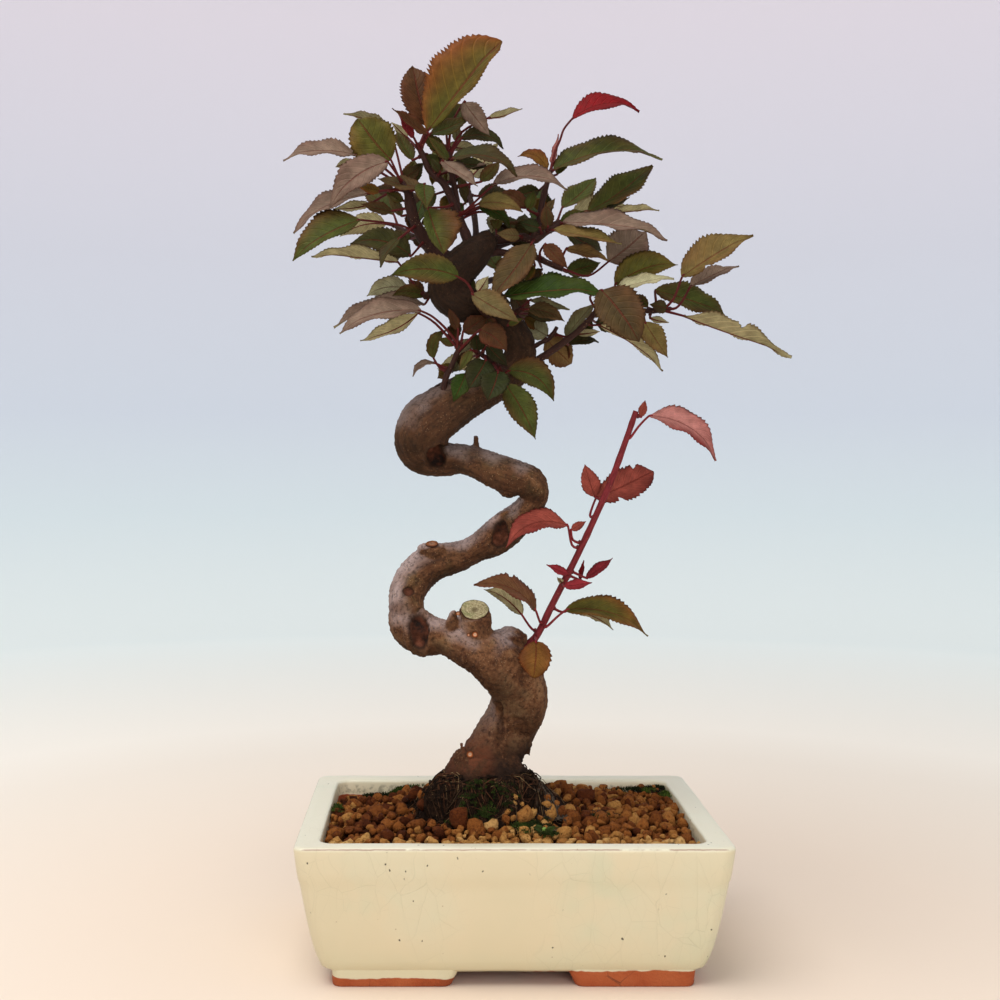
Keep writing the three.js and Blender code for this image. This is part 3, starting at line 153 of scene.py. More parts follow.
# Leafy shoots. Stems: column, row, depth and radius. Leaves: name, column and row of the blade's base
# and of its tip, half width, bow of the midrib, depth of base and of tip, look, and the columns and
# rows that a longer petiole passes on its way back to the stem.
SHOOTS = {
    "apex_shoot": {
        "stems": [
            [[470, 246, -1, 6], [462, 225, 0, 4.5], [452, 200, -2, 4], [443, 183, -4, 3.6],
             [430, 171, -4, 3.4], [424, 158, -5, 3], [417, 143, -6, 2.6]],
            [[459, 218, 0, 3.4], [455, 190, 0, 3], [450, 165, -1, 2.6], [448, 152, -1, 2.2]],
        ],
        "leaves": [
            ["A1", 428, 131, 500.5, 38, 25, 4, -8, -14, "bronze", [420, 145]],
            ["A2", 427, 126, 413, 64, 22, 0, -2, 6, "umber"],
            ["A3", 428, 134, 394, 107, 6, 0, -10, -20, "umber"],
            ["A4", 414, 138, 399, 112, 5, 0, -9, -14, "cherry"],
            ["A5", 446, 128, 466, 101, 12, 0, 3, 11, "olive"],
            ["A6", 430, 134, 471, 116, 9, 0, -4, -2, "olive"],
            ["A7", 449, 159, 429, 136, 6, 0, -2, -10, "olive"],
            ["A8", 440, 172, 431, 158, 5, 0, -8, -10, "dark"],
            ["A9", 464, 102, 490, 135, 12, 0, 0, -6, "mauve", [452, 124]],
            ["A10", 488, 118, 521, 107, 4, 0, 5, 12, "pale", [462, 132]],
            ["A11", 457, 142, 457, 124, 6, 0, 3, 3, "dusty"],
            ["A12", 408, 138, 392, 122, 5, 0, 8, 8, "pale"],
            ["A13", 413, 160, 397, 130, 8, 0, -4, 2, "olive"],
            ["D1", 461, 139, 505, 148, 8, 10, 0, 4, "dark"],
            ["D2", 445, 146, 481, 150, 6, 2, 6, 12, "pale"],
            ["D3", 452, 159, 519, 174, 9, 14, -10, -18, "dark"],
            ["D4", 442, 161, 478, 184, 8, 2, -10, -22, "mauve"],
            ["D5", 480, 182, 500, 161, 8, 0, 0, 4, "olive"],
            ["D6", 461, 176, 467, 205, 6, 0, 2, 2, "dark"],
            ["D7", 457, 169, 488, 162, 3, 0, 4, 4, "mauve"],
            ["F1", 478, 204, 523, 211, 10, 6, -8, -14, "gold", [463, 212]],
            ["F2", 478, 207, 511, 225, 8, 5, -2, 2, "green", [463, 214]],
            ["F3", 497, 214, 491, 233, 10, 0, 10, 12, "pale", [478, 212]],
            ["F4", 428, 208, 444, 253, 21, 0, -16, -24, "olive", [446, 207]],
            ["F5", 492, 186, 569, 188, 9, 15, -5, -10, "mauve", [463, 213]],
            ["F6", 526, 208, 499, 192, 8, 4, 4, 6, "russet", [490, 206], [465, 214]],
        ],
    },
    "left_branch": {
        "stems": [
            [[447, 264, -3, 10], [436, 251, -3, 9], [425, 240, -4, 7], [415, 222, -6, 5.5], [411, 208, -8, 6],
             [408, 192, -8, 4.5], [402, 182, -9, 3]],
        ],
        "leaves": [
            ["B1", 391, 160, 358, 118, 25, 0, -10, -12, "lime", [401, 182]],
            ["B2", 388, 124, 344, 112, 5, 2, 4, 4, "pale", [396, 150], [402, 175]],
            ["B3", 358, 156, 282, 157, 9, 10, -2, -6, "mauve", [384, 168]],
            ["B4", 352, 160, 335, 167, 5, 0, 4, 4, "pale", [380, 172]],
            ["B5", 388, 162, 329, 206, 17, 10, -16, -26, "mauve", [398, 176]],
            ["B6", 422, 187, 378, 177, 8, 0, -10, -8, "dun"],
            ["B7", 380, 191, 357, 185, 6, 0, -10, -14, "bronze"],
            ["B8", 368, 194, 291, 231, 9, 12, 0, 2, "mauve", [390, 190]],
            ["B9", 370, 204, 333, 208, 6, 0, 6, 6, "pale"],
            ["B10", 392, 211, 361, 203, 7, 0, -8, -12, "brown"],
            ["B11", 402, 216, 389, 193, 6, 0, -4, -4, "drab"],
            ["B12", 400, 181, 421, 166, 9, 0, 2, 2, "brown"],
            ["B13", 424, 184, 427, 208, 12, 0, -16, -26, "olive"],
            ["C1", 361, 220, 291, 259, 14, 8, -6, -10, "olive", [400, 225], [415, 233]],
            ["C2", 411, 256, 350, 243, 15, 10, -14, -22, "dark", [420, 246]],
            ["C4", 400, 238, 379, 266, 6, 4, -24, -34, "dark"],
        ],
    },
    "left_low_spray": {
        "stems": [[[448, 291, -4, 4], [432, 293, -3, 3.5], [424, 297, -1, 3]]],
        "leaves": [
            ["C3", 398, 262, 312, 252, 7, 6, 4, 8, "pale", [410, 279]],
            ["I2", 408, 289, 366, 296, 12, 6, 10, 12, "sage"],
            ["I3", 424, 297, 392, 296, 8, 6, 0, -4, "olive"],
            ["I4", 425, 304, 332, 324, 9, 12, 0, -3, "mauve"],
            ["I5", 424, 292, 408, 280, 7, 0, 10, 10, "russet"],
        ],
    },
    "right_branch": {
        "stems": [
            [[486, 243, 2, 6], [497, 240, 3, 5], [512, 239, 2, 4.2], [522, 237, 0, 4], [534, 240, -2, 4],
             [548, 231, -2, 3.2], [561, 224, -1, 2.8]],
            [[534, 240, -2, 3.5], [539, 220, 1, 3.2], [543, 198, 2, 3], [551, 170, 3, 2.4]],
        ],
        "leaves": [
            ["E1", 554, 170, 664, 155, 10, 18, 2, 8, "olive"],
            ["E2", 572, 119, 641, 109, 9, 14, 4, 8, "crimson", [564, 129], [560, 140], [555, 152]],
            ["E3", 552, 167, 557, 134, 3.5, 0, 7, 8, "rose"],
            ["E4", 547, 170, 517, 156, 7, 9, 5, 6, "orange"],
            ["E6", 528, 210, 534, 190, 7, 0, -4, -4, "olive"],
            ["E7", 545, 212, 555, 198, 4, 0, 0, 0, "drab"],
            ["G1", 532, 243, 487, 301, 17, 0, -12, -20, "dun"],
            ["G2", 553, 230, 622, 241, 7, 3, -12, -17, "gold"],
            ["G3", 563, 223, 669, 235, 10, 10, -4, -8, "mauve"],
            ["G4", 588, 212, 652, 163, 15, 0, 8, 14, "olive", [562, 223]],
            ["G5", 592, 212, 629, 196, 6, 0, 11, 12, "olive", [572, 220]],
            ["G6", 612, 213, 659, 208, 4, 3, 14, 14, "pale", [580, 222]],
            ["G7", 560, 223, 585, 210, 8, 0, 3, 7, "olive"],
            ["G8", 520, 236, 497, 233, 8, 0, -4, -8, "drab"],
            ["G9", 540, 228, 520, 222, 8, 0, -8, -8, "deep"],
            ["G10", 548, 227, 546, 204, 8, 0, -10, -12, "brown"],
        ],
    },
    "right_low_branch": {
        "stems": [
            [[484, 254, -1, 5], [497, 252, 2, 4], [515, 255, 0, 3.4], [535, 257, -2, 3.2], [548, 263, -4, 3],
             [563, 269, -5, 3]],
        ],
        "leaves": [
            ["H1", 545, 244, 568, 268, 9, 0, -14, -20, "umber", [540, 252]],
            ["H2", 566, 249, 609, 259, 7, 3, -2, -4, "tan"],
            ["H3", 566, 272, 601, 262, 11, 0, 9, 12, "olive"],
            ["H4", 608, 262, 647, 229, 24, 0, 8, 16, "mauve", [588, 276], [566, 270]],
        ],
    },
    "front_spray": {
        "stems": [[[490, 319, 2, 4], [486, 314, -8, 3.5], [480, 307, -14, 3.4], [474, 297, -17, 2.8]]],
        "leaves": [
            ["H5", 502, 297, 603, 289, 13, 8, -16, -24, "green", [490, 304]],
            ["I1", 458, 277, 390, 275, 17, 8, -21, -28, "olive", [468, 284]],
            ["Q1", 472, 294, 519, 321, 14, 0, -22, -30, "drab"],
            ["Q2", 478, 292, 488, 276, 8, 0, -14, -12, "pale"],
        ],
    },
    "right_mid_spray": {
        "stems": [[[501, 322, 4, 5], [513, 314, 0, 3.4], [521, 309, -4, 2.8]]],
        "leaves": [
            ["P1", 528, 309, 565, 321, 9, 4, -6, -10, "dun"],
            ["H6", 530, 300, 570, 308, 6, 0, -1, 2, "dusty"],
            ["Q5", 508, 325, 523, 318, 4, 0, -8, -10, "olive"],
        ],
    },
    "right_thin_shoot": {
        "stems": [
            [[520, 350, 6, 4], [533, 347, 4, 2.6], [540, 343, 3, 2.3], [550, 338, 2, 2.2], [557, 327, 2, 2]],
        ],
        "leaves": [
            ["P2", 548, 336, 526, 322, 12, 0, 16, 18, "sage"],
            ["P3", 546, 338, 572, 364, 17, 0, 10, 14, "tan"],
            ["P4", 566, 337, 597, 300, 8, 3, 6, 10, "dusty"],
        ],
    },
    "left_mid_shoot": {
        "stems": [
            [[452, 402, -6, 5], [444, 389, -9, 3.4], [447, 375, -9, 3], [452, 365, -9, 2.8],
             [457, 353, -10, 2.8], [461, 346, -11, 3.4]],
        ],
        "leaves": [
            ["J1", 421, 311, 338, 331, 12, 12, -15, -20, "mauve", [433, 317], [447, 330]],
            ["J2", 418, 313, 360, 338, 9, -2, -6, -4, "pale", [436, 324]],
            ["J4", 434, 359, 448, 329, 7, 8, -7, -6, "olive", [440, 368]],
            ["J5", 435, 363, 412, 376, 4, 6, -8, -12, "mauve"],
            ["J6", 455, 345, 438, 338, 5, 0, -9, -9, "olive"],
            ["J7", 452, 372, 462, 358, 7, 0, 3, 8, "dusty"],
            ["J8", 480, 330, 507, 351, 15, 4, -20, -27, "umber", [475, 334], [466, 343]],
            ["J9", 458, 330, 449, 308, 6, 0, -14, -16, "umber"],
            ["J10", 463, 332, 487, 315, 11, 0, -9, -8, "umber"],
        ],
    },
    "front_mid_spray": {
        "stems": [
            [[514, 372, 4, 5], [502, 368, -5, 3.6], [493, 363, -9, 3], [485, 357, -10, 2.6],
             [477, 352, -10, 2.2]],
        ],
        "leaves": [
            ["K1", 466, 373, 453, 401, 12, 0, -16, -21, "green", [474, 362]],
            ["K2", 486, 360, 469, 387, 16, 0, -17, -25, "deep"],
            ["K3", 498, 372, 488, 399, 17, 0, -23, -32, "deep"],
            ["K4", 508, 371, 554, 401, 15, 11, -14, -20, "olive", [503, 373]],
            ["K5", 506, 385, 536, 439, 17, 3, -19, -26, "olive", [500, 374]],
            ["K6", 487, 345, 508, 366, 9, 0, -13, -15, "deep"],
            ["K7", 478, 352, 476, 333, 8, 0, -6, -6, "dark"],
            ["K9", 489, 350, 478, 334, 9, 0, -4, -2, "green"],
            ["K8", 471, 350, 459, 371, 6, 0, -14, -17, "olive"],
        ],
    },
    "right_long_branch": {
        "stems": [
            [[519, 366, 3, 6], [535, 361, -2, 4], [550, 352, -4, 3.6], [564, 342, -5, 3.4],
             [577, 332, -6, 3.2], [590, 319, -7, 3], [599, 311, -8, 3], [625, 309, -6, 2.8],
             [650, 311, -4, 2.6], [668, 309, -3, 2.8]],
        ],
        "leaves": [
            ["M1", 601, 290, 639, 341, 27, 4, -22, -34, "dun", [590, 297], [596, 309]],
            ["M2", 600, 325, 665, 369, 8, 8, -6, -10, "pale", [590, 325]],
            ["M3", 578, 334, 600, 331, 5, 0, 6, 6, "pale"],
            ["M4", 645, 322, 668, 357, 13, 0, -12, -20, "gold"],
            ["M5", 650, 318, 669, 322, 4, 0, -2, -2, "pale"],
            ["M6", 616, 289, 674, 276, 7, 4, -13, -12, "sage"],
            ["N1", 684, 316, 793, 353, 9, 6, -6, -12, "pale"],
            ["N2", 655, 291, 731, 316, 14, 6, 9, 14, "olive"],
            ["N3", 690, 287, 739, 264, 8, 4, 3, 8, "mauve", [683, 300], [676, 308]],
            ["N4", 682, 277, 753, 233, 15, 5, -4, -8, "gold", [674, 298]],
            ["N5", 615, 285, 679, 263, 15, 8, -2, 0, "lime", [618, 306]],
            ["N6", 667, 308, 650, 304, 8, 0, -6, -8, "dark"],
        ],
    },
    "red_shoot": {
        "stems": [
            [[513, 656, -8, 6], [535, 638, -5, 3.8], [553, 603, -5, 3.4], [575, 560, -6, 3.3],
             [593, 522, -8, 3.2], [611, 481, -9, 3.2], [626, 440, -11, 3], [636, 411, -12, 2.8]],
        ],
        "leaves": [
            ["R1", 649, 416, 718, 460, 13, 16, -12, -18, "rose", [639, 426], [630, 438]],
            ["R1b", 641, 417, 645, 400, 5, 0, -12, -12, "coral"],
            ["R2", 596, 498, 654, 470, 19, 0, 2, 6, "coral", [590, 515]],
            ["R2b", 595, 497, 585, 464, 11, 0, 1, 3, "coral"],
            ["R3", 568, 526, 505, 546, 13, 16, -10, -20, "coral", [572, 545]],
            ["R3b", 571, 530, 586, 521, 5, 0, -10, -11, "coral", [573, 540]],
            ["R4a", 586, 578, 612, 557, 6, 0, -2, 0, "cherry"],
            ["R4b", 580, 580, 583, 560, 3, 0, 0, 2, "crimson"],
            ["R4c", 568, 574, 547, 564, 5, 0, -8, -10, "cherry"],
            ["R4d", 564, 586, 592, 582, 6, 0, -14, -16, "cherry"],
            ["R4e", 565, 585, 557, 577, 3, 0, -6, -8, "pale"],
            ["R5", 566, 610, 650, 634, 13, 14, -8, -14, "bronze", [557, 617], [546, 627]],
            ["R6", 572, 609, 614, 628, 7, 5, 0, 4, "pale", [562, 612]],
            ["R7", 536, 611, 474, 583, 11, 14, -12, -20, "russet", [540, 622]],
            ["R8", 522, 615, 484, 588, 9, 6, 0, 2, "pale", [531, 628]],
            ["R9", 536, 641, 533, 678, 19, 0, -22, -26, "orange"],
        ],
    },
    "back_left_spray": {
        "stems": [
            [[452, 276, 0, 5], [443, 264, 11, 3.6], [424, 246, 18, 3.2], [408, 234, 25, 3],
             [396, 226, 32, 2.6]],
        ],
        "leaves": [
            ["S1", 386, 224, 340, 236, 12, 6, 34, 42, "pale"],
            ["S2", 394, 215, 366, 186, 12, 0, 36, 50, "olive"],
            ["S3", 404, 238, 384, 262, 11, 0, 32, 50, "dark"],
            ["S4", 412, 226, 424, 192, 11, 0, 28, 44, "green"],
        ],
    },
    "back_top_spray": {
        "stems": [[[474, 250, -1, 5], [476, 236, 9, 3.4], [474, 214, 20, 3], [468, 190, 29, 2.6]]],
        "leaves": [
            ["T1", 472, 176, 498, 142, 12, 0, 33, 42, "pale"],
            ["T2", 462, 176, 432, 148, 11, 0, 33, 46, "olive"],
            ["T3", 478, 196, 512, 200, 11, 4, 30, 46, "dark"],
            ["T4", 464, 204, 440, 226, 12, 0, 28, 44, "green"],
        ],
    },
    "back_right_spray": {
        "stems": [
            [[478, 255, 0, 5], [492, 249, 12, 3.4], [516, 239, 20, 3.2], [538, 230, 28, 3],
             [560, 222, 34, 2.6]],
        ],
        "leaves": [
            ["U1", 572, 216, 628, 206, 13, 6, 37, 44, "pale"],
            ["U2", 562, 208, 596, 176, 12, 0, 42, 56, "olive"],
            ["U3", 566, 232, 604, 250, 12, 0, 36, 52, "dark"],
            ["U4", 538, 224, 540, 186, 11, 0, 30, 44, "green"],
        ],
    },
    "back_mid_spray": {
        "stems": [[[466, 300, 0, 5], [476, 288, 12, 3.4], [492, 280, 24, 3], [508, 280, 34, 2.6]]],
        "leaves": [
            ["V1", 520, 282, 566, 294, 12, 4, 38, 48, "pale"],
            ["V2", 500, 270, 478, 240, 12, 0, 34, 50, "olive"],
            ["V3", 492, 292, 470, 322, 12, 0, 30, 46, "dark"],
            ["V4", 512, 292, 530, 322, 11, 0, 36, 50, "brown"],
        ],
    },
    "back_low_spray": {
        "stems": [[[505, 378, 6, 5], [500, 372, 18, 3.4], [492, 364, 28, 3]]],
        "leaves": [
            ["W1", 482, 362, 438, 368, 12, 4, 30, 42, "pale"],
            ["W2", 496, 352, 512, 318, 11, 0, 32, 44, "olive"],
            ["W3", 500, 376, 522, 404, 12, 0, 32, 48, "dark"],
        ],
    },
    "sprout": {
        "stems": [[[546, 858, -37, 2.4], [545, 838, -37, 2.2], [544, 828, -38, 2]]],
        "leaves": [
            ["Z1", 545, 834, 556, 827, 4, 1, -38, -40, "seedling"],
            ["Z2", 543, 831, 533, 827, 4, 1, -38, -37, "seedling"],
        ],
    },
}

# How many small leaves fill the crown behind each shoot's own
INNER_LEAVES = {
    "apex_shoot": 16, "left_branch": 10, "left_low_spray": 3, "right_branch": 14, "right_low_branch": 6,
    "front_spray": 3, "right_mid_spray": 4, "left_mid_shoot": 4, "front_mid_spray": 4, "right_long_branch": 5,
}

# Colours of a shoot's wood and petioles and its material slot: the usual ones, and where they differ
USUAL_WOOD = ("3a211a", "581b19", "leaf")
OTHER_WOOD = {"red_shoot": ("7a282c", "84282c", "young_leaf"), "sprout": ("7c9a4a", "7c9a4a", "sprout")}

# Torn margins: side, place along the blade, how deep and how wide
TEARS = {
    "A1": [(1, 0.97, 0.5, 0.03)], "E1": [(1, 0.62, 0.45, 0.03)], "G4": [(1, 0.22, 0.75, 0.035)],
    "N4": [(1, 0.3, 0.6, 0.03)], "N1": [(1, 0.5, 0.5, 0.025)], "N3": [(-1, 0.75, 0.5, 0.04)],
    "R7": [(1, 0.52, 0.3, 0.025)], "R2": [(1, 0.3, 0.5, 0.03), (-1, 0.72, 0.4, 0.02)],
    "R6": [(-1, 0.7, 0.5, 0.03)], "M2": [(1, 0.6, 0.3, 0.02)],
}

# Blades fuller towards the tip than most
FULL_BLADES = {
    "A1": (0.75, 0.62), "A2": (0.8, 1.05), "B1": (0.7, 0.75), "F4": (0.8, 0.85), "R2": (0.7, 0.7),
    "R9": (0.7, 0.75), "M1": (0.75, 0.9), "K3": (0.7, 0.8), "K2": (0.7, 0.8), "H5": (0.8, 0.9),
    "G4": (0.8, 0.95), "P3": (0.75, 0.85),
}

# Blades that show more of one half: widths left and right of the way from base to tip
UNEVEN = {
    "A1": (1.5, 0.45), "F4": (1.5, 0.5), "N4": (1.3, 0.8), "C1": (0.75, 1.35), "B1": (1.15, 1.0),
    "N5": (1.2, 0.9), "K4": (1.25, 0.9), "Q1": (1.15, 0.8),
}

# Each look: the colours of the upper face, of its margin and of the underside
LOOKS = {
    "bronze": ("4f4818", "75401b", "7a7448"),
    "brown": ("3f3117", "4d2415", "6e6a44"),
    "umber": ("452b15", "4f2514", "6e6a44"),
    "lime": ("4e4b1b", "62451f", "77754a"),
    "russet": ("5f3f26", "632f23", "66683a"),
    "drab": ("5c5030", "5e4226", "7c7450"),
    "dun": ("493b21", "553820", "6e6a44"),
    # Painted light: a lightened copy of the pale underside, for leaves that the lamps leave in shade
    "sage": ("a39e7a", "8c7f5e", "b0a985"),
    "cherry": ("8a2b30", "6b1a20", "9a4044"),
    "olive": ("40451a", "53341a", "77754a"),
    "dark": ("363517", "3f2c17", "64673f"),
    "green": ("26370b", "373912", "5f673a"),
    # Painted sheen: this upper face stands for the grey sheen that upward-facing leaves catch from the light
    "mauve": ("7c6756", "604438", "847b5c"),
    "pale": ("5a5830", "65482a", "a79c74"),
    "dusty": ("6f6b48", "5f4a2e", "8a8360"),
    "gold": ("66572d", "684828", "80784e"),
    # Painted shade: a darkened copy of the green looks, for leaves that lie in shade
    "deep": ("262b10", "2c2511", "4a5030"),
    "crimson": ("700c10", "56090d", "8c2026"),
    "coral": ("8f4437", "5f211d", "8c4234"),
    "rose": ("a56c63", "6e2a26", "8c4234"),
    "orange": ("6a4a1c", "5f2f16", "7c6236"),
    "tan": ("7a6038", "664326", "8a784c"),
    "seedling": ("2e3c17", "36441b", "4c5a30"),
}


def colour(code):
    """A linear colour from its usual six-figure code"""
    parts = [int(code[place:place + 2], 16) / 255 for place in (0, 2, 4)]
    return tuple(part / 12.92 if part <= 0.04045 else ((part + 0.055) / 1.055) ** 2.4 for part in parts)


def blend(first, second, share):
    share = min(max(share, 0), 1)
    return tuple(a + (b - a) * share for a, b in zip(first, second))


def step_between(low, high, value):
    share = min(max((value - low) / (high - low), 0), 1)
    return share * share * (3 - 2 * share)


# Meshes
def shade_smooth(faces, finish=0):
    for face in faces:
        face.smooth = True
        face.material_index = finish


def face_outward(mesh):
    """Turns a closed skin's faces outwards and shades it smooth"""
    bmesh.ops.recalc_face_normals(mesh, faces=mesh.faces)
    shade_smooth(mesh.faces)


def as_data(name, mesh):
    data = bpy.data.meshes.new(name)
    mesh.to_mesh(data)
    mesh.free()
    return data


def as_object(name, data):
    made = bpy.data.objects.new(name, data)
    bpy.context.scene.collection.objects.link(made)
    return made


def tree_of(places):
    """Places, looked up by which is nearest"""
    tree = kdtree.KDTree(len(places))
    for index, place in enumerate(places):
        tree.insert(place, index)
    tree.balance()
    return tree


class Part:
    """One piece in the making: its mesh, what each point of it keeps, and its finishes"""

    def __init__(self, name, finishes):
        self.name = name
        self.finishes = finishes
        self.mesh = bmesh.new()
        self.spot = self.mesh.verts.layers.float_vector.new("spot")
        self.tint = self.mesh.verts.layers.float_color.new("tint")

    def loft(self, around, along, place, finish=0):
        """A skin from a grid whose long sides meet, with both ends filled.

        place gives the point, spot and tint for a step around and a step along.
        """
        points = bmesh.ops.create_grid(self.mesh, x_segments=around, y_segments=along, size=0.5)["verts"]
        seam, ends = [], []
        for point in points:
            turn = round((point.co.x + 0.5) * around)
            step = round((point.co.y + 0.5) * along)
            if turn in (0, around):
                seam.append(point)
            if step in (0, along):
                ends.append(point)
            point.co, point[self.spot], point[self.tint] = place(turn % around, step)
        bmesh.ops.remove_doubles(self.mesh, verts=seam, dist=JOIN)
        points = [point for point in points if point.is_valid]
        rims = {edge for point in ends if point.is_valid for edge in point.link_edges if edge.is_boundary}
        bmesh.ops.holes_fill(self.mesh, edges=list(rims), sides=0)
        faces = list({face for point in points for face in point.link_faces})
        bmesh.ops.recalc_face_normals(self.mesh, faces=faces)
        shade_smooth(faces, finish)
        return points

    def tube(self, path, sides, tint, finish=0, flutes=0.0):
        """Wood or fibre along a path of centres and radii"""
        frames = frames_along([centre for centre, _ in path])

        def place(turn, step):
            centre, radius = path[step]
            along, across, upward, length = frames[step]
            angle = (turn + 0.5) / sides * math.tau
            reach = radius * (1 + flutes * math.cos(2 * angle + step * 0.3))
            side = across * math.cos(angle) + upward * math.sin(angle)
            spot = Vector((math.cos(angle) * radius, math.sin(angle) * radius, length))
            return centre + side * reach, spot, (*tint, 1)

        return self.loft(sides, len(path) - 1, place, finish)

    def lump(self, centre, radii, tint, finish=0, detail=2, rough=0.0, seed=0):
        points = bmesh.ops.create_icosphere(self.mesh, subdivisions=detail, radius=1)["verts"]
        for point in points:
            bulge = 1 + rough * noise.noise(point.co * 1.9 + Vector((seed, seed * 0.7, 0)))
            point[self.spot] = point.co
            point[self.tint] = (*tint, 1)
            point.co = Vector(centre) + Vector([a * b * bulge for a, b in zip(point.co, radii)])
        shade_smooth({face for point in points for face in point.link_faces}, finish)
        return points

    def finish(self, slot, nodes=()):
        """Sets the piece into the model's frame, on its body, with its finishes"""
        self.mesh.transform(TO_FRAME)
        piece = as_object(self.name, as_data(self.name, self.mesh))
        for material in self.finishes:
            piece.data.materials.append(material)
        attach(piece, "root")
        if nodes:
            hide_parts(*nodes)
        return piece


def frames_along(centres):
    """For each centre of a path: the way along it, the ways across it, and the length so far"""
    frames = []
    length = 0.0
    for index, centre in enumerate(centres):
        before = centres[max(index - 1, 0)]
        after = centres[min(index + 1, len(centres) - 1)]
        along = (after - before).normalized()
        depthwise = Vector((1, 0, 0)) if abs(along.y) > 0.95 else Vector((0, 1, 0))
        across = along.cross(depthwise).normalized()
        upward = across.cross(along).normalized()
        length += (centre - before).length
        frames.append((along, across, upward, length))
    return frames


def smooth_path(stations, steps):
    """A curve through stations of equally many numbers, with steps between two of them"""
    path = []
    for index in range(len(stations) - 1):
        four = [stations[min(max(index + offset, 0), len(stations) - 1)] for offset in (-1, 0, 1, 2)]
        for step in range(steps):
            share = step / steps
            path.append([curve_through(share, *values) for values in zip(*four)])
    path.append(list(stations[-1]))
    return path


def curve_through(share, before, start, end, after):
    return start + 0.5 * share * (
        end - before + share * (
            2 * before - 5 * start + 4 * end - after + share * (3 * (start - end) + after - before)))


def wood_path(stations, steps):
    """Centres and radii in millimetres, from stations in picture units"""
    places = [[*at(column, row, depth), size(radius, depth)] for column, row, depth, radius in stations]
    return [(Vector(values[:3]), values[3]) for values in smooth_path(places, steps)]


# Materials
class Field:
    """A number that changes over a surface: each operator adds the node that works it out"""

    def __init__(self, shader, socket):
        self.shader = shader
        self.socket = socket

    def math(self, operation, *others, first=None):
        values = [self if first is None else first, *others]
        node = self.shader.node("ShaderNodeMath", {"operation": operation}, dict(enumerate(values)))
        return Field(self.shader, node.outputs[0])

    def __add__(self, other):
        return self.math("ADD", other)

    def __radd__(self, other):
        return self.math("ADD", other)

    def __sub__(self, other):
        return self.math("SUBTRACT", other)

    def __rsub__(self, other):
        return self.math("SUBTRACT", self, first=other)

    def __mul__(self, other):
        return self.math("MULTIPLY", other)

    def __rmul__(self, other):
        return self.math("MULTIPLY", other)

    def __truediv__(self, other):
        return self.math("DIVIDE", other)

    def __rtruediv__(self, other):
        return self.math("DIVIDE", self, first=other)

    def __pow__(self, other):
        return self.math("POWER", other)

    def __abs__(self):
        return self.math("ABSOLUTE")

    def __mod__(self, other):
        return self.math("WRAP", other, 0)

    def rise(self, low, high):
        """0 below low, 1 above high, smooth between; the other way round where low is the larger"""
        settings = {"interpolation_type": "SMOOTHSTEP"}
        values = {"Value": self, "From Min": low, "From Max": high, "To Min": 0, "To Max": 1}
        if low > high:
            values.update({"From Min": high, "From Max": low, "To Min": 1, "To Max": 0})
        return Field(self.shader, self.shader.node("ShaderNodeMapRange", settings, values).outputs[0])


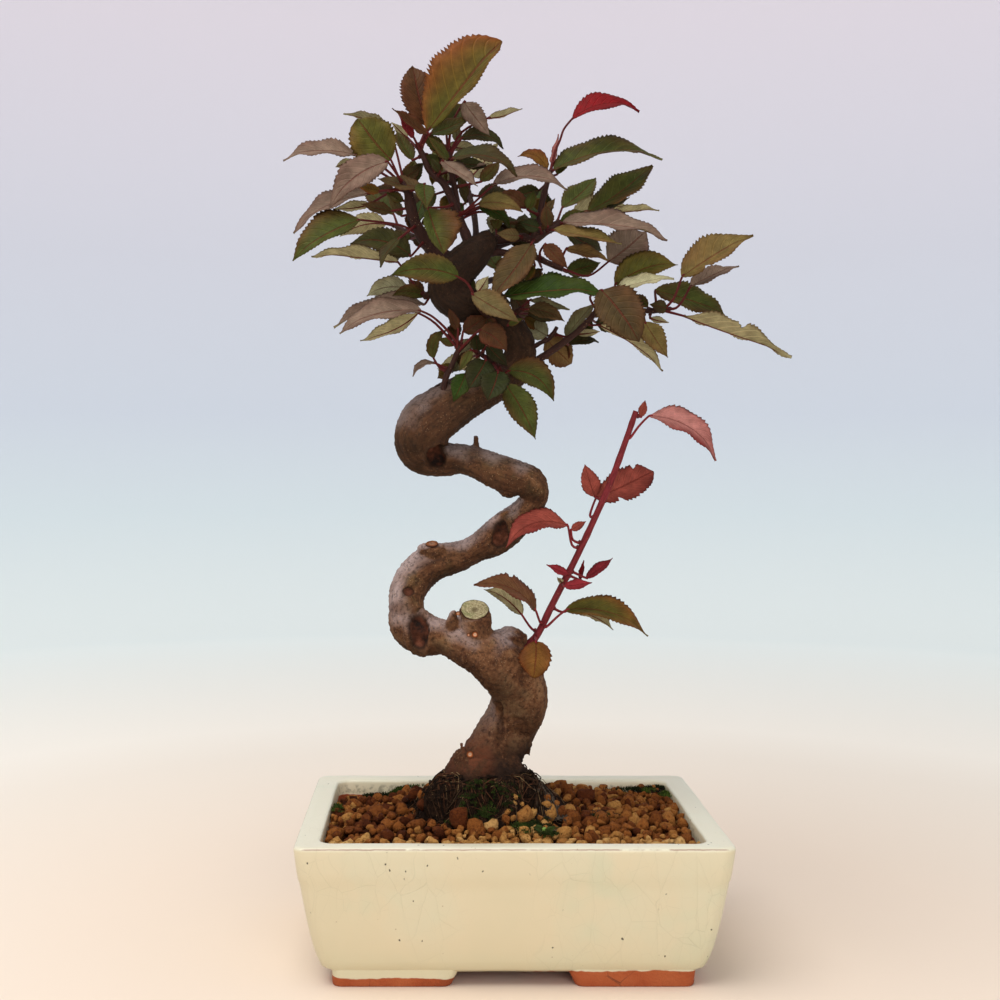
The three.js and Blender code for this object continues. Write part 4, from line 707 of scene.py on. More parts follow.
class Finish:
    """A material in the making"""

    def __init__(self, name):
        self.material = bpy.data.materials.new(name)
        self.material.use_nodes = True
        self.tree = self.material.node_tree
        self.tree.nodes.clear()
        self.object = self.node("ShaderNodeTexCoord").outputs["Object"]

    def node(self, kind, settings=None, values=None):
        made = self.tree.nodes.new(kind)
        for name, setting in (settings or {}).items():
            if name == "stops":
                self.set_stops(made.color_ramp, setting)
            else:
                setattr(made, name, setting)
        for name, value in (values or {}).items():
            socket = made.inputs[name]
            source = value.socket if isinstance(value, Field) else value
            if isinstance(source, bpy.types.NodeSocket):
                self.tree.links.new(source, socket)
            elif socket.type == "RGBA":
                socket.default_value = (*source, 1)
            else:
                socket.default_value = source
        return made

    @staticmethod
    def set_stops(ramp, stops):
        while len(ramp.elements) < len(stops):
            ramp.elements.new(1)
        for element, (position, shade) in zip(ramp.elements, stops):
            element.position = position
            element.color = (*shade, 1)

    def noise(self, scale, vector=None, detail=3, roughness=0.55):
        values = {"Vector": vector or self.object, "Scale": scale, "Detail": detail, "Roughness": roughness}
        return Field(self, self.node("ShaderNodeTexNoise", {}, values).outputs["Fac"])

    def cells(self, scale, vector=None, feature="F1"):
        values = {"Vector": vector or self.object, "Scale": scale}
        node = self.node("ShaderNodeTexVoronoi", {"feature": feature}, values)
        return Field(self, node.outputs["Distance"])

    def cell_edges(self, scale, vector=None):
        return self.cells(scale, vector, "DISTANCE_TO_EDGE")

    def kept(self, name, output="Vector"):
        return self.node("ShaderNodeAttribute", {"attribute_name": name}).outputs[output]

    def axes(self, vector):
        return [Field(self, socket) for socket in self.node("ShaderNodeSeparateXYZ", {}, {0: vector}).outputs]

    def stretched(self, vector, x, y, z):
        return self.vector_math("MULTIPLY", {0: vector, 1: (x, y, z)})

    def bent(self, vector, scale, reach):
        """The vector, pushed about by noise"""
        ways = self.node("ShaderNodeTexNoise", {}, {"Vector": vector, "Scale": scale}).outputs["Color"]
        return self.vector_math("ADD", {0: vector, 1: self.vector_math("SCALE", {0: ways, "Scale": reach})})

    def vector_math(self, operation, values):
        return self.node("ShaderNodeVectorMath", {"operation": operation}, values).outputs[0]

    def mix(self, share, first, second, blend_type="MIX"):
        settings = {"data_type": "RGBA", "blend_type": blend_type, "clamp_factor": True}
        return self.node("ShaderNodeMix", settings, {0: share, 6: first, 7: second}).outputs[2]

    def over(self, base, share, code):
        """The base with a colour laid over it, as far as the share says"""
        return self.mix(share, base, colour(code))

    def ramp(self, value, stops):
        """A colour for each value, from stops that each hold a value and a colour's code"""
        shades = [(position, colour(code)) for position, code in stops]
        return self.node("ShaderNodeValToRGB", {"stops": shades}, {0: value}).outputs[0]

    def bump(self, height, depth, strength=1.0, under=None):
        values = {"Height": height, "Distance": depth, "Strength": strength}
        if under is not None:
            values["Normal"] = under
        return self.node("ShaderNodeBump", {}, values).outputs[0]

    def surface(self, base, roughness, gloss, others):
        """The finished material, with its gloss from 0 to 1 and the values of other sockets"""
        values = {"Base Color": base, "Roughness": roughness, "Specular IOR Level": gloss, **others}
        shader = self.node("ShaderNodeBsdfPrincipled", {}, values)
        self.node("ShaderNodeOutputMaterial", {}, {"Surface": shader.outputs[0]})
        return self.material


def glaze_finish():
    """Cream crackle glaze, thin and pinkish along the rim, and bare terracotta on the feet and inside"""
    make = Finish("cream_crackle_glaze")
    x, y, z = make.axes(make.object)
    x = x - POT_MIDDLE.x
    cloud = make.noise(14, detail=4)
    wisps = make.noise(60, detail=3)
    base = make.ramp(cloud, [(0.32, "d6cbaa"), (0.5, "dacdac"), (0.7, "d6d0b2")])
    # The rim's flat top is cooler than the walls
    top = z.rise(0.0585, 0.0596)
    base = make.over(base, top * (0.4 + wisps * 0.35), "dcdcc8")
    pools = make.noise(20, detail=3).rise(0.58, 0.72) * 0.35
    base = make.over(base, pools, "c3ccae")
    base = make.over(base, z.rise(0.02, 0.008) * 0.3, "cfd0ae")
    # Hair cracks: edges of two nets of tall cells, bent a little
    bend = make.bent(make.object, 40, 0.005)
    wide_net = make.cell_edges(85, make.stretched(bend, 1, 1, 0.42))
    fine_net = make.cell_edges(190, make.stretched(bend, 1, 1, 0.5))
    crack = wide_net.rise(0.008, 0.002)
    hair = fine_net.rise(0.016, 0.004) * make.noise(18, detail=2).rise(0.45, 0.58)
    shown = make.noise(16, detail=2).rise(0.4, 0.6)
    base = make.over(base, crack * shown * 0.1, "8c8a6e")
    base = make.over(base, hair * 0.08, "8f8468")
    # Pits, each a dark speck, and small brown stains
    pits = make.cells(175, make.stretched(make.bent(make.object, 900, 0.0011), 1, 1, 0.7)).rise(0.085, 0.05)
    pits = pits * make.noise(31, detail=1).rise(0.44, 0.5)
    base = make.over(base, pits * 0.9, "2e281c")
    stains = make.cells(300).rise(0.12, 0.05) * make.noise(55, detail=2).rise(0.6, 0.68)
    base = make.over(base, stains * 0.5, "8a6a45")
    # The glaze runs thin along the outer edge of the rim
    outer = (abs(x) - 0.0893).rise(0, 0.0003).math("MAXIMUM", (abs(y) - 0.0643).rise(0, 0.0003))
    arris = z + make.noise(200, detail=2) * 0.0005
    thin = outer * arris.rise(0.0593, 0.0596) * arris.rise(0.0601, 0.0598)
    thin = thin * make.noise(110, detail=3).rise(0.34, 0.5)
    base = make.over(base, thin * 0.8, "936a5a")
    # Dirt under the inner lip and down the inside
    grime = make.noise(380, detail=4).rise(0.48, 0.66) * z.rise(0.0585, 0.0565)
    # Bare fired clay: the feet's lower parts, the underside, and the inside below the glaze
    brush = make.noise(70, detail=3) * 0.004 - 0.002
    foot_line = x.rise(0.0, 0.01) * y.rise(0.0, -0.01) * 0.0032 + 0.0034
    inside = abs(x).rise(0.0798, 0.0795) * abs(y + 0.001).rise(0.056, 0.0557) * z.rise(0.02, 0.0205)
    base = make.over(base, grime * inside * 0.5, "4f483a")
    bare_inside = inside * (z + brush).rise(0.0536, 0.053)
    under = abs(x).rise(0.0768, 0.0764) * abs(y).rise(0.0517, 0.0513) * z.rise(0.0068, 0.0064)
    bare = (z + brush - foot_line).rise(0.0004, -0.0002).math("MAXIMUM", bare_inside).math("MAXIMUM", under)
    clay = make.ramp(make.noise(45, detail=5), [
        (0.3, "7c3716"), (0.5, "a14a20"), (0.72, "b05c30")])
    splits = make.cell_edges(60, bend).rise(0.01, 0.002)
    splits = splits * make.noise(40, detail=2).rise(0.5, 0.6)
    clay = make.over(clay, splits * 0.6, "2c160c")
    base = make.mix(bare, base, clay)
    height = make.noise(22, detail=2) * 0.6 + wisps * 0.12 - crack * 0.1 * shown - pits * 0.5
    grit = make.noise(900, detail=2) * bare
    normal = make.bump(height, 0.0011, 0.5)
    normal = make.bump(grit, 0.0006, 0.6, normal)
    roughness = 0.27 + wisps * 0.14 + bare * 0.5 + pits * 0.3
    return make.surface(base, roughness, 0.5, {"Normal": normal})


def bark_finish():
    """Bark that runs along the wood: zones kept in tint are wound, patina with painted highlight, and dirt
    with painted shade
    """
    make = Finish("grey_brown_bark")
    spot = make.kept("spot")
    wound, patina_and_highlight, dirt_and_shade = make.axes(make.kept("tint"))
    streaks = make.noise(1.0, make.stretched(spot, 0.55, 0.55, 0.09), detail=5, roughness=0.62)
    bands = make.noise(1.0, make.stretched(spot, 0.16, 0.16, 0.55), detail=3)
    cloud = make.noise(90, detail=5, roughness=0.65)
    grain = make.noise(620, detail=4, roughness=0.7)
    x, _, height_above = make.axes(make.object)
    x = x - POT_MIDDLE.x
    grainy = height_above.rise(0.165, 0.12)
    smooth = 1 - grainy
    base = make.ramp((streaks * 0.6 + 0.19) * smooth + (cloud * 0.9 + 0.1) * grainy, [
        (0.3, "2b190f"), (0.44, "51331f"), (0.56, "724c32"), (0.72, "966e4f")])
    base = make.over(base, cloud.rise(0.5, 0.7) * 0.35, "5b5030")
    base = make.over(base, cloud.rise(0.5, 0.32) * 0.45, "4a2414")
    # Pale patina, and a painted highlight on faces turned up and to the left
    base = make.over(base, patina_and_highlight * (0.45 + streaks * 0.8), "ab9690")
    base = make.over(base, bands.rise(0.6, 0.75) * 0.3, "332219")
    # Pores of the bark, pale orange and short across the stem
    pores = make.cells(1.0, make.stretched(spot, 0.42, 0.42, 0.62)).rise(0.15, 0.08)
    pores = pores * make.noise(110, detail=1).rise(0.46, 0.56) * (1 - dirt_and_shade)
    base = make.over(base, pores * 0.7, "a8744e")
    specks = make.cells(850).rise(0.26, 0.12) * make.noise(170, detail=2).rise(0.44, 0.56)
    base = make.over(base, specks * 0.6, "b48d68")
    base = make.over(base, grain.rise(0.52, 0.36) * 0.6, "1d130d")
    base = make.over(base, grain.rise(0.55, 0.68) * grainy * 0.5, "9a7150")
    # Painted shade: the bark darkens up into the crown, where the leaves shade it
    base = make.over(base, height_above.rise(0.198, 0.225) * 0.4, "33261a")
    base = make.over(base, height_above.rise(0.235, 0.285) * 0.75, "1a110c")
    # The foot is dark and rough, but for one smooth reddish patch
    foot = height_above.rise(0.1, 0.082)
    patch = foot * x.rise(-0.004, -0.011) * x.rise(-0.032, -0.026)
    base = make.over(base, foot * cloud.rise(0.34, 0.56), "2b1a11")
    base = make.over(base, patch * cloud.rise(0.42, 0.54) * 0.9, "70402a")
    base = make.over(base, (height_above + cloud * 0.012).rise(0.089, 0.078) * 0.8, "1d120c")
    # Dirt at the foot, and painted shade on the undersides
    base = make.over(base, dirt_and_shade * (cloud.rise(0.38, 0.6) * 0.5 + grain * 0.6 + 0.15), "1f130b")
    flesh = make.ramp(make.noise(170, detail=4), [
        (0.36, "1b0f0a"), (0.5, "4a2718"), (0.66, "6e402e")])
    base = make.over(base, wound.rise(0.0, 0.6) * 0.75, "1c100b")
    base = make.mix(wound.rise(0.45, 0.95), base, flesh)
    height = streaks * (0.9 - grainy * 0.5) + grain * (0.3 + grainy * 0.3) + pores * 0.3 + bands * 0.35
    normal = make.bump(height + specks * 0.15, 0.0014, 0.9)
    roughness = 0.76 - patina_and_highlight * 0.3 + grain * 0.1 + foot * 0.1
    return make.surface(base, roughness, 0.15, {"Normal": normal})


def cut_wood_finish():
    """Dried end grain: rings and rays from the middle, darker at the bark"""
    make = Finish("cut_wood")
    _, _, r = make.axes(make.kept("spot"))
    wobble = make.noise(260, detail=3)
    rings = ((r * 3.4 + wobble * 0.9) % 1.0).rise(0.55, 0.95)
    rays = make.noise(1.0, make.stretched(make.kept("spot"), 9, 9, 0.3), detail=3)
    small, age, _ = make.axes(make.kept("tint"))
    base = make.ramp(rays, [(0.3, "6d6040"), (0.5, "a19470"), (0.7, "beb38f")])
    base = make.over(base, rings * 0.3, "6e5f40")
    base = make.over(base, wobble.rise(0.48, 0.66) * 0.65, "767a4d")
    base = make.over(base, r.rise(0.42, 0.05) * 0.7, "4d3c26")
    base = make.mix(small, base, make.ramp(r + wobble * 0.3 - 0.15, [
        (0.0, "c79c77"), (0.4, "dcb291"), (0.62, "b9622c"), (0.8, "7d4020")]))
    base = make.mix(age * 0.85, base, make.ramp(wobble, [(0.35, "5c3520"), (0.62, "96603c")]))
    base = make.over(base, r.rise(0.9, 0.98), "3a2015")
    normal = make.bump(rays + rings * 0.5, 0.0006, 0.7)
    return make.surface(base, 0.85, 0.15, {"Normal": normal})


def leaf_finish():
    """A blade: spot is its place across, along and through, and tint the colour there"""
    make = Finish("apple_leaf")
    across, share, top = make.axes(make.kept("spot"))
    across = abs(across)
    tint = make.kept("tint", "Color")
    mottle = make.noise(260, detail=4)
    fine = make.noise(1500, detail=2)
    veins = abs((share * 8.2 - across * 1.9 - across * across * 0.7) % 1.0 - 0.5)
    veins = veins.rise(0.13, 0.02) * across.rise(1.0, 0.7) * share.rise(0.02, 0.08)
    rib = across.rise(0.06, 0.02)
    net = make.cell_edges(1250).rise(0.1, 0.02)
    # A lighter shade of the tint, and a deeper one, through brightness alone
    lighter = make.mix(1.0, tint, (0.5, 0.52, 0.5), "DIVIDE")
    deeper = make.mix(1.0, tint, (0.5, 0.46, 0.44), "MULTIPLY")
    base = make.mix(mottle.rise(0.62, 0.3) * 0.55, tint, deeper)
    base = make.mix(mottle.rise(0.5, 0.8) * 0.35, base, lighter)
    base = make.mix(net * 0.14, base, lighter)
    base = make.mix(veins * (0.5 - top * 0.16), base, lighter)
    base = make.over(base, rib * 0.55, "5f1f18")
    base = make.over(base, across.rise(0.93, 1.0) * 0.35, "4a2418")
    specks = make.cells(420).rise(0.09, 0.05) * make.noise(60, detail=1).rise(0.56, 0.62)
    base = make.over(base, specks * 0.6, "43200f")
    height = (veins * 0.8 + rib) * (1 - top * 2) + net * 0.12 + mottle * 0.4 + fine * 0.1
    normal = make.bump(height, 0.00045, 0.8)
    roughness = 0.66 - top * 0.18 + mottle * 0.12 - veins * 0.05
    return make.surface(base, roughness, 0.1, {"Normal": normal})


def twig_finish():
    """Young wood and petioles, coloured by tint, with pale pores"""
    make = Finish("young_wood")
    tint = make.kept("tint", "Color")
    streaks = make.noise(1.0, make.stretched(make.kept("spot"), 1.6, 1.6, 0.25), detail=4)
    deeper = make.mix(1.0, tint, (0.45, 0.42, 0.42), "MULTIPLY")
    base = make.mix(streaks.rise(0.6, 0.35) * 0.7, tint, deeper)
    pores = make.cells(900).rise(0.16, 0.1) * make.noise(150, detail=1).rise(0.5, 0.6)
    base = make.over(base, pores * 0.6, "c09a76")
    normal = make.bump(streaks + make.noise(1100, detail=2) * 0.4, 0.0004, 0.6)
    return make.surface(base, 0.5 + streaks * 0.2, 0.14, {"Normal": normal})


def clod_finish():
    """Fired clay granules: tint keeps how pale each one is, and painted shade on those that lie low"""
    make = Finish("clay_granules")
    tone, shade, _ = make.axes(make.kept("tint"))
    crumb = make.noise(700, detail=4, roughness=0.6)
    dust = make.noise(2600, detail=2)
    value = tone + (crumb - 0.5) * 0.28
    base = make.ramp(value, [
        (0.0, "2e140a"), (0.22, "5a2c14"), (0.45, "8f5526"),
        (0.7, "b98648"), (1.0, "d3a96c")])
    base = make.over(base, crumb.rise(0.48, 0.3) * 0.5, "40200f")
    base = make.over(base, dust.rise(0.62, 0.78) * (tone * 0.5), "dcb98a")
    base = make.over(base, shade, "2a1a10")
    pores = make.cells(1500).rise(0.3, 0.1)
    normal = make.bump(crumb + dust * 0.35 - pores * 0.35, 0.0016, 1.0)
    return make.surface(base, 0.96, 0.08, {"Normal": normal})


def peat_finish():
    """Old soil and fibres, coloured by tint, dark and damp"""
    make = Finish("dark_peat")
    tint = make.kept("tint", "Color")
    crumb = make.noise(420, detail=5, roughness=0.65)
    fine = make.noise(1900, detail=2)
    deeper = make.mix(1.0, tint, (0.3, 0.28, 0.28), "MULTIPLY")
    base = make.mix(crumb.rise(0.6, 0.35), tint, deeper)
    base = make.over(base, fine.rise(0.62, 0.75) * 0.3, "7d6142")
    normal = make.bump(crumb + fine * 0.4, 0.0014, 0.9)
    return make.surface(base, 0.9, 0.1, {"Normal": normal})


def moss_finish():
    """Short moss, coloured by tint, deep green between its leaves"""
    make = Finish("moss")
    tint = make.kept("tint", "Color")
    cloud = make.noise(180, detail=3)
    deeper = make.mix(1.0, tint, (0.45, 0.5, 0.4), "MULTIPLY")
    base = make.mix(cloud.rise(0.6, 0.35), tint, deeper)
    normal = make.bump(make.noise(1800, detail=2), 0.0004, 0.6)
    return make.surface(base, 0.85, 0.1, {"Normal": normal})


def netting_finish():
    """Dark scuffed plastic of the nettings over the drainage holes"""
    make = Finish("plastic_netting")
    scuff = make.noise(350, detail=4)
    base = make.ramp(scuff, [(0.35, "1c2022"), (0.7, "33393a")])
    normal = make.bump(scuff, 0.0003, 0.4)
    return make.surface(base, 0.55 + scuff * 0.25, 0.5, {"Normal": normal})


# Pot
def rounded(points, old, new):
    """Moves a ring from one rounded rectangle to another

    Each is a half width, half depth, corner, height and how far forward its middle is.
    """
    for point in points:
        side_x, side_y = math.copysign(1, point.co.x), math.copysign(1, point.co.y + old[4])
        corner = Vector((side_x * (old[0] - old[2]), side_y * (old[1] - old[2]) - old[4]))
        around = (point.co.xy - corner) / old[2]
        corner = Vector((side_x * (new[0] - new[2]), side_y * (new[1] - new[2]) - new[4]))
        point.co.xy = corner + around * new[2]
        point.co.z = new[3]


def rounded_plate(mesh, ring, segments):
    """A flat face with round corners"""
    half_width, half_depth, corner, height, forward = ring
    points = bmesh.ops.create_grid(mesh, x_segments=1, y_segments=1, size=1)["verts"]
    for point in points:
        point.co = Vector((point.co.x * half_width, point.co.y * half_depth - forward, height))
    made = bmesh.ops.bevel(
        mesh, geom=points, offset=corner, segments=segments, profile=0.5, affect="VERTICES", material=-1)
    faces = [face for point in made["verts"] for face in point.link_faces]
    return max(faces, key=lambda face: face.calc_area())


def rounded_tower(mesh, rings, segments=6):
    """Rounded rectangles joined one after the other into a closed body"""
    bottom = face = rounded_plate(mesh, rings[0], segments)
    for old, new in zip(rings, rings[1:]):
        made = bmesh.ops.extrude_face_region(mesh, geom=[face])["geom"]
        if face != bottom:
            bmesh.ops.delete(mesh, geom=[face], context="FACES_ONLY")
        face = next(item for item in made if isinstance(item, bmesh.types.BMFace))
        rounded(face.verts, old, new)


# The rim's reach, and the heights from which the well opens outwards and has wider corners
POT_RIM = {"half_width": 90, "half_depth": 65, "lip": 58.6, "top": 60.02}
# Rings of the wall from the underside up to the rim, and of the well down to its floor: inset, height, corner
POT_WALL = [
    (15.5, 5.6, 9), (12.3, 6.0, 8), (10.3, 7.6, 7.2), (8.9, 11.4, 6.6), (7.4, 16.6, 6.2), (6.0, 23, 5.8),
    (4.9, 29, 5.5), (3.9, 35, 5.4), (2.9, 41, 5.2), (2.3, 44.6, 5.1), (1.7, 46.2, 5.1), (1.1, 50, 5),
    (0.5, 54.6, 5), (0.1, 58.2, 5), (0.15, 59.1, 4.9), (0.55, 59.7, 4.6), (1.2, 60, 4.2), (3.5, 60.1, 4.0),
]
POT_WELL = [
    (1.5, 60.05, 6.6), (0.7, 59.9, 6.4), (0.2, 59.4, 6.2), (0, 58.6, 6), (0.3, 54, 6), (1.2, 36, 6),
    (3.6, 20, 6), (6.5, 14, 6),
]
# The walls wave between rows of points a step apart, out to this reach, and the seed keeps them the same
WAVES = {"step": 6, "half_width": 84, "half_depth": 60, "seed": 1}
DRAIN = {"x": 38, "y": 0, "radius": 7, "depth": 18}
FEET = {"inner": 22.5, "outer": 75.3, "front": 54.3, "back": 39, "corner": 4, "slope": 2.4}
FOOT_RINGS = [(1.1, 0.0), (0.7, 0.15), (0.5, 0.7), (0.3, 3), (0, 6.0), (-0.1, 7.2), (0.1, 9.2)]


def cut_across(mesh, axis, reach):
    """Rows of points across a mesh, so that its flat sides can wave"""
    for offset in range(-reach, reach + 1, WAVES["step"]):
        everything = mesh.verts[:] + mesh.edges[:] + mesh.faces[:]
        bmesh.ops.bisect_plane(mesh, geom=everything, plane_co=axis * offset, plane_no=axis)


def pot():
    part = Part("pot_glazed", [glaze_finish()])
    wide, deep = POT_RIM["half_width"], POT_RIM["half_depth"]
    rings = [(wide - inset, deep - inset, corner, height, 0) for inset, height, corner in POT_WALL]
    for inset, height, corner in POT_WELL:
        half_width, half_depth = OPENING["width"] / 2 - inset, OPENING["depth"] / 2 - inset
        if height > POT_RIM["lip"]:
            half_width, half_depth = half_width + 2 * inset, half_depth + 2 * inset
        if height > POT_RIM["top"]:
            corner += 0.4
        rings.append((half_width, half_depth, corner, height, OPENING["forward"]))
    rounded_tower(part.mesh, rings)
    cut_across(part.mesh, Vector((1, 0, 0)), WAVES["half_width"])
    cut_across(part.mesh, Vector((0, 1, 0)), WAVES["half_depth"])
    noise.seed_set(WAVES["seed"])
    for point in part.mesh.verts:
        wave = noise.noise_vector(point.co * 0.035) * 0.28 + noise.noise_vector(point.co * 0.11) * 0.1
        if abs(point.co.x) > WAVES["half_width"] - 1 or abs(point.co.y) > WAVES["half_depth"] - 1:
            wave *= 0.7
        point.co += wave
    for side_x in (-1, 1):
        for side_y in (-1, 1):
            corner_foot(part.mesh, side_x, side_y)
    face_outward(part.mesh)
    drill(part.finish("glaze", ["pot"]))


def drill(piece):
    """Two round drainage holes through the floor"""
    mesh = bmesh.new()
    for side in (-1, 1):
        place = Matrix.Translation((side * DRAIN["x"], DRAIN["y"], DRAIN["depth"] / 2))
        bmesh.ops.create_cone(
            mesh, cap_ends=True, segments=48, radius1=DRAIN["radius"], radius2=DRAIN["radius"],
            depth=DRAIN["depth"], matrix=place)
    mesh.transform(TO_FRAME)
    cutter = as_object("drills", as_data("drills", mesh))
    cut = piece.modifiers.new("drill", "BOOLEAN")
    cut.object = cutter
    cut.operation = "DIFFERENCE"
    cut.solver = "EXACT"
    drilled = bpy.data.meshes.new_from_object(piece.evaluated_get(bpy.context.evaluated_depsgraph_get()))
    piece.modifiers.clear()
    piece.data = drilled
    bpy.data.objects.remove(cutter)


def corner_foot(mesh, side_x, side_y):
    """One corner foot, rippled, its inner end sloping a little"""
    half_x, half_y = (FEET["outer"] - FEET["inner"]) / 2, (FEET["front"] - FEET["back"]) / 2
    middle = Vector((
        side_x * (FEET["outer"] + FEET["inner"]) / 2, side_y * (FEET["front"] + FEET["back"]) / 2, 0))
    rings = [(half_x - inset, half_y - inset, FEET["corner"], height, 0) for inset, height in FOOT_RINGS]
    before = set(mesh.verts)
    rounded_tower(mesh, rings, 5)
    for point in set(mesh.verts) - before:
        ripple = noise.noise(point.co * 0.21 + middle) * 0.25 if point.co.z > 0.5 else 0
        inner_end = step_between(0, -half_x, point.co.x * side_x)
        slope = FEET["slope"] * inner_end * (1 - min(point.co.z / 6.4, 1)) * side_x
        point.co += middle + Vector((ripple + slope, ripple, 0))


# Soil
def soil_height(x, y):
    """The soil falls from the mound to the pot's wall, with a trough and a heap behind"""
    across = (x - MOUND["x"]) / POT_RIM["half_width"]
    along = (y - MOUND["y"]) / POT_RIM["half_depth"]
    nearness = max(0, 1 - math.hypot(across, along))
    dip = SOIL["trough"] * step_between(44, 60, -x) * step_between(28, 44, y)
    heap = SOIL["heap"] * step_between(24, 0, math.hypot(x - 26, (y - 26) * 0.8))
    return SOIL["edge"] + (SOIL["peak"] - SOIL["edge"]) * nearness - dip + heap


def mound_ripple(angle):
    """How far the mound's rim lies out there, as a share of its mean"""
    return 1 + 0.05 * math.sin(angle * 3 + 1) + 0.03 * math.sin(angle * 7)


def mound_share(x, y):
    """1 in the middle of the root mound, 0 at its rim"""
    across, along = (x - MOUND["x"]) / MOUND["half_width"], (y - MOUND["y"]) / MOUND["half_depth"]
    return 1 - math.hypot(across, along) / mound_ripple(math.atan2(along, across))


def mound_height(x, y):
    """The mound climbs from its rim to the trunk, with a ridge over each root"""
    share = mound_share(x, y)
    if share <= 0:
        return -1e9
    climb = MOUND["rim"] + (MOUND["top"] - MOUND["rim"]) * min(1, share / 0.52) ** 0.8
    lumps = 1.3 * noise.noise(Vector((x, y, 0)) * 0.16) + 0.9 * noise.noise(Vector((x, y, 7)) * 0.4)
    return max(climb + lumps, root_ridge(x, y))


def root_path_tree():
    """The middles of the roots, looked up by their place on the ground"""
    path = [point for root in ROOTS for point in wood_path(root, 6) if point[0].z < MOUND["top"]]
    return path, tree_of([(centre.x, centre.y, 0) for centre, _ in path])


def root_ridge(x, y):
    _, index, distance = ROOT_TREE.find((x, y, 0))
    centre, radius = ROOT_PATH[index]
    reach = radius + MOUND["crust"]
    if distance >= reach:
        return -1e9
    ridge = centre.z + 1.7 * math.sqrt(reach * reach - distance * distance)
    return min(ridge, MOUND["top"] + 2 + noise.noise(Vector((x, y, 2)) * 0.3) * 2)


def ground(x, y):
    return max(soil_height(x, y), mound_height(x, y))


def on_ground(column, row):
    """The place on the soil or the mound that a column and row look at"""
    depth = -56.0
    while depth < 56:
        place = at(column, row, depth)
        if place.z <= ground(place.x, place.y):
            return place
        depth += 0.5
    return on_level(column, row, 57)


def into_opening(x, y, inset):
    """The place itself, or the nearest one inside the pot's opening"""
    half_width = OPENING["width"] / 2 - inset
    half_depth = OPENING["depth"] / 2 - inset
    corner = max(OPENING["corner"] - inset, 1)
    y += OPENING["forward"]
    core_x = min(max(x, corner - half_width), half_width - corner)
    core_y = min(max(y, corner - half_depth), half_depth - corner)
    away = Vector((x - core_x, y - core_y))
    if away.length > corner:
        away *= corner / away.length
    return core_x + away.x, core_y + away.y - OPENING["forward"]


def soil_bed(finish):
    """The body of the soil under the loose granules, down to the floor of the pot"""
    part = Part("soil_bed", [finish])
    width, depth = OPENING["width"], OPENING["depth"]
    columns, rows = round(width / BED["cell"]), round(depth / BED["cell"])
    made = bmesh.ops.create_grid(part.mesh, x_segments=columns, y_segments=rows, size=0.5)["verts"]
    for point in made:
        x, y = into_opening(point.co.x * width, point.co.y * depth - 1, 0.5)
        lumps = 0.9 * noise.noise(Vector((x, y, 3)) * 0.35)
        point.co = Vector((x, y, soil_height(x, y) - BED["sunk"] + lumps))
        # Tone, and painted shade: the bed shows only in the gaps under the granules
        point[part.tint] = (0.22, 0.45, 0, 1)
    skirt = bmesh.ops.extrude_face_region(part.mesh, geom=part.mesh.faces[:])["geom"]
    for item in skirt:
        if isinstance(item, bmesh.types.BMVert):
            x, y = into_opening(item.co.x, item.co.y, BED["narrowing"])
            item.co = Vector((x, y, SOIL["floor"]))
    face_outward(part.mesh)
    return part.finish("clay", ["soil"])


def clod_shapes(rng, count):
    """Rough granules of about unit radius, each with some broken faces"""
    shapes = []
    for number in range(count):
        mesh = bmesh.new()
        bmesh.ops.create_icosphere(mesh, subdivisions=2, radius=1)
        stretch = Vector([rng.uniform(0.72, 1.28) for _ in range(3)])
        breaks = [(unit_vector(rng), rng.uniform(0.5, 0.85)) for _ in range(7)]
        for point in mesh.verts:
            away = point.co * 1.15 + Vector((number * 3.1, number, 0))
            place = point.co * (1.08 + 0.4 * noise.noise(away) + 0.26 * noise.noise(away * 2.3))
            for way, limit in breaks:
                place -= way * max(0, place.dot(way) - limit) * 0.85
            point.co = Vector([a * b for a, b in zip(place, stretch)])
        shade_smooth(mesh.faces)
        shapes.append(as_data("shape", mesh))
    return shapes


def scatter(part, placed, shapes):
    """Copies of the shapes, each with its own place, turn, size and tint"""
    for _, _, _, _, kind in placed:
        part.mesh.from_mesh(shapes[kind])
    part.mesh.verts.ensure_lookup_table()
    start = 0
    for centre, turn, radii, tint, kind in placed:
        count = len(shapes[kind].vertices)
        for index in range(start, start + count):
            point = part.mesh.verts[index]
            local = Vector([a * b for a, b in zip(point.co, radii)])
            point[part.spot] = point.co
            point[part.tint] = (*tint, 1)
            point.co = centre + turn @ local
        start += count


def unit_vector(rng):
    return Vector([rng.gauss(0, 1) for _ in range(3)]).normalized()


def random_turn(rng):
    return Matrix.Rotation(rng.uniform(0, math.tau), 3, unit_vector(rng))


def clod_tone(rng, x, y):
    """Pale at the front of the pot, red-brown behind"""
    front = step_between(-32, -47, y + 9 * noise.noise(Vector((x, y, 0)) * 0.06))
    pile = step_between(20, 9, math.hypot((x - 1) * 0.8, y + 25)) * 0.75
    front = max(front, pile)
    side = 0.14 * step_between(12, 45, x) + 0.03 * step_between(-10, -50, x)
    tone = 0.27 + 0.5 * front + side * (1 - front) + rng.gauss(0, 0.12)
    if rng.random() < 0.08:
        tone += rng.uniform(-0.2, 0.35)
    return min(max(tone, 0.04), 1)


def rest_height(x, y, radius, held, cell):
    """How high a granule comes to lie on the bed and on those already there"""
    best = ground(x, y) - 2.2 + radius * 0.55
    column, row = int(x // cell), int(y // cell)
    for near_column in range(column - 1, column + 2):
        for near_row in range(row - 1, row + 2):
            for centre, other in held.get((near_column, near_row), ()):
                flat = (centre.x - x) ** 2 + (centre.y - y) ** 2
                reach = (radius + other) * 0.86
                if flat < reach * reach:
                    best = max(best, centre.z + math.sqrt(reach * reach - flat))
    return best


def clod_limit(x, y):
    """How far up the mound granules lie: further at its right side"""
    return 0.05 + 0.07 * step_between(-17, -8, x) * step_between(-6, -16, y)


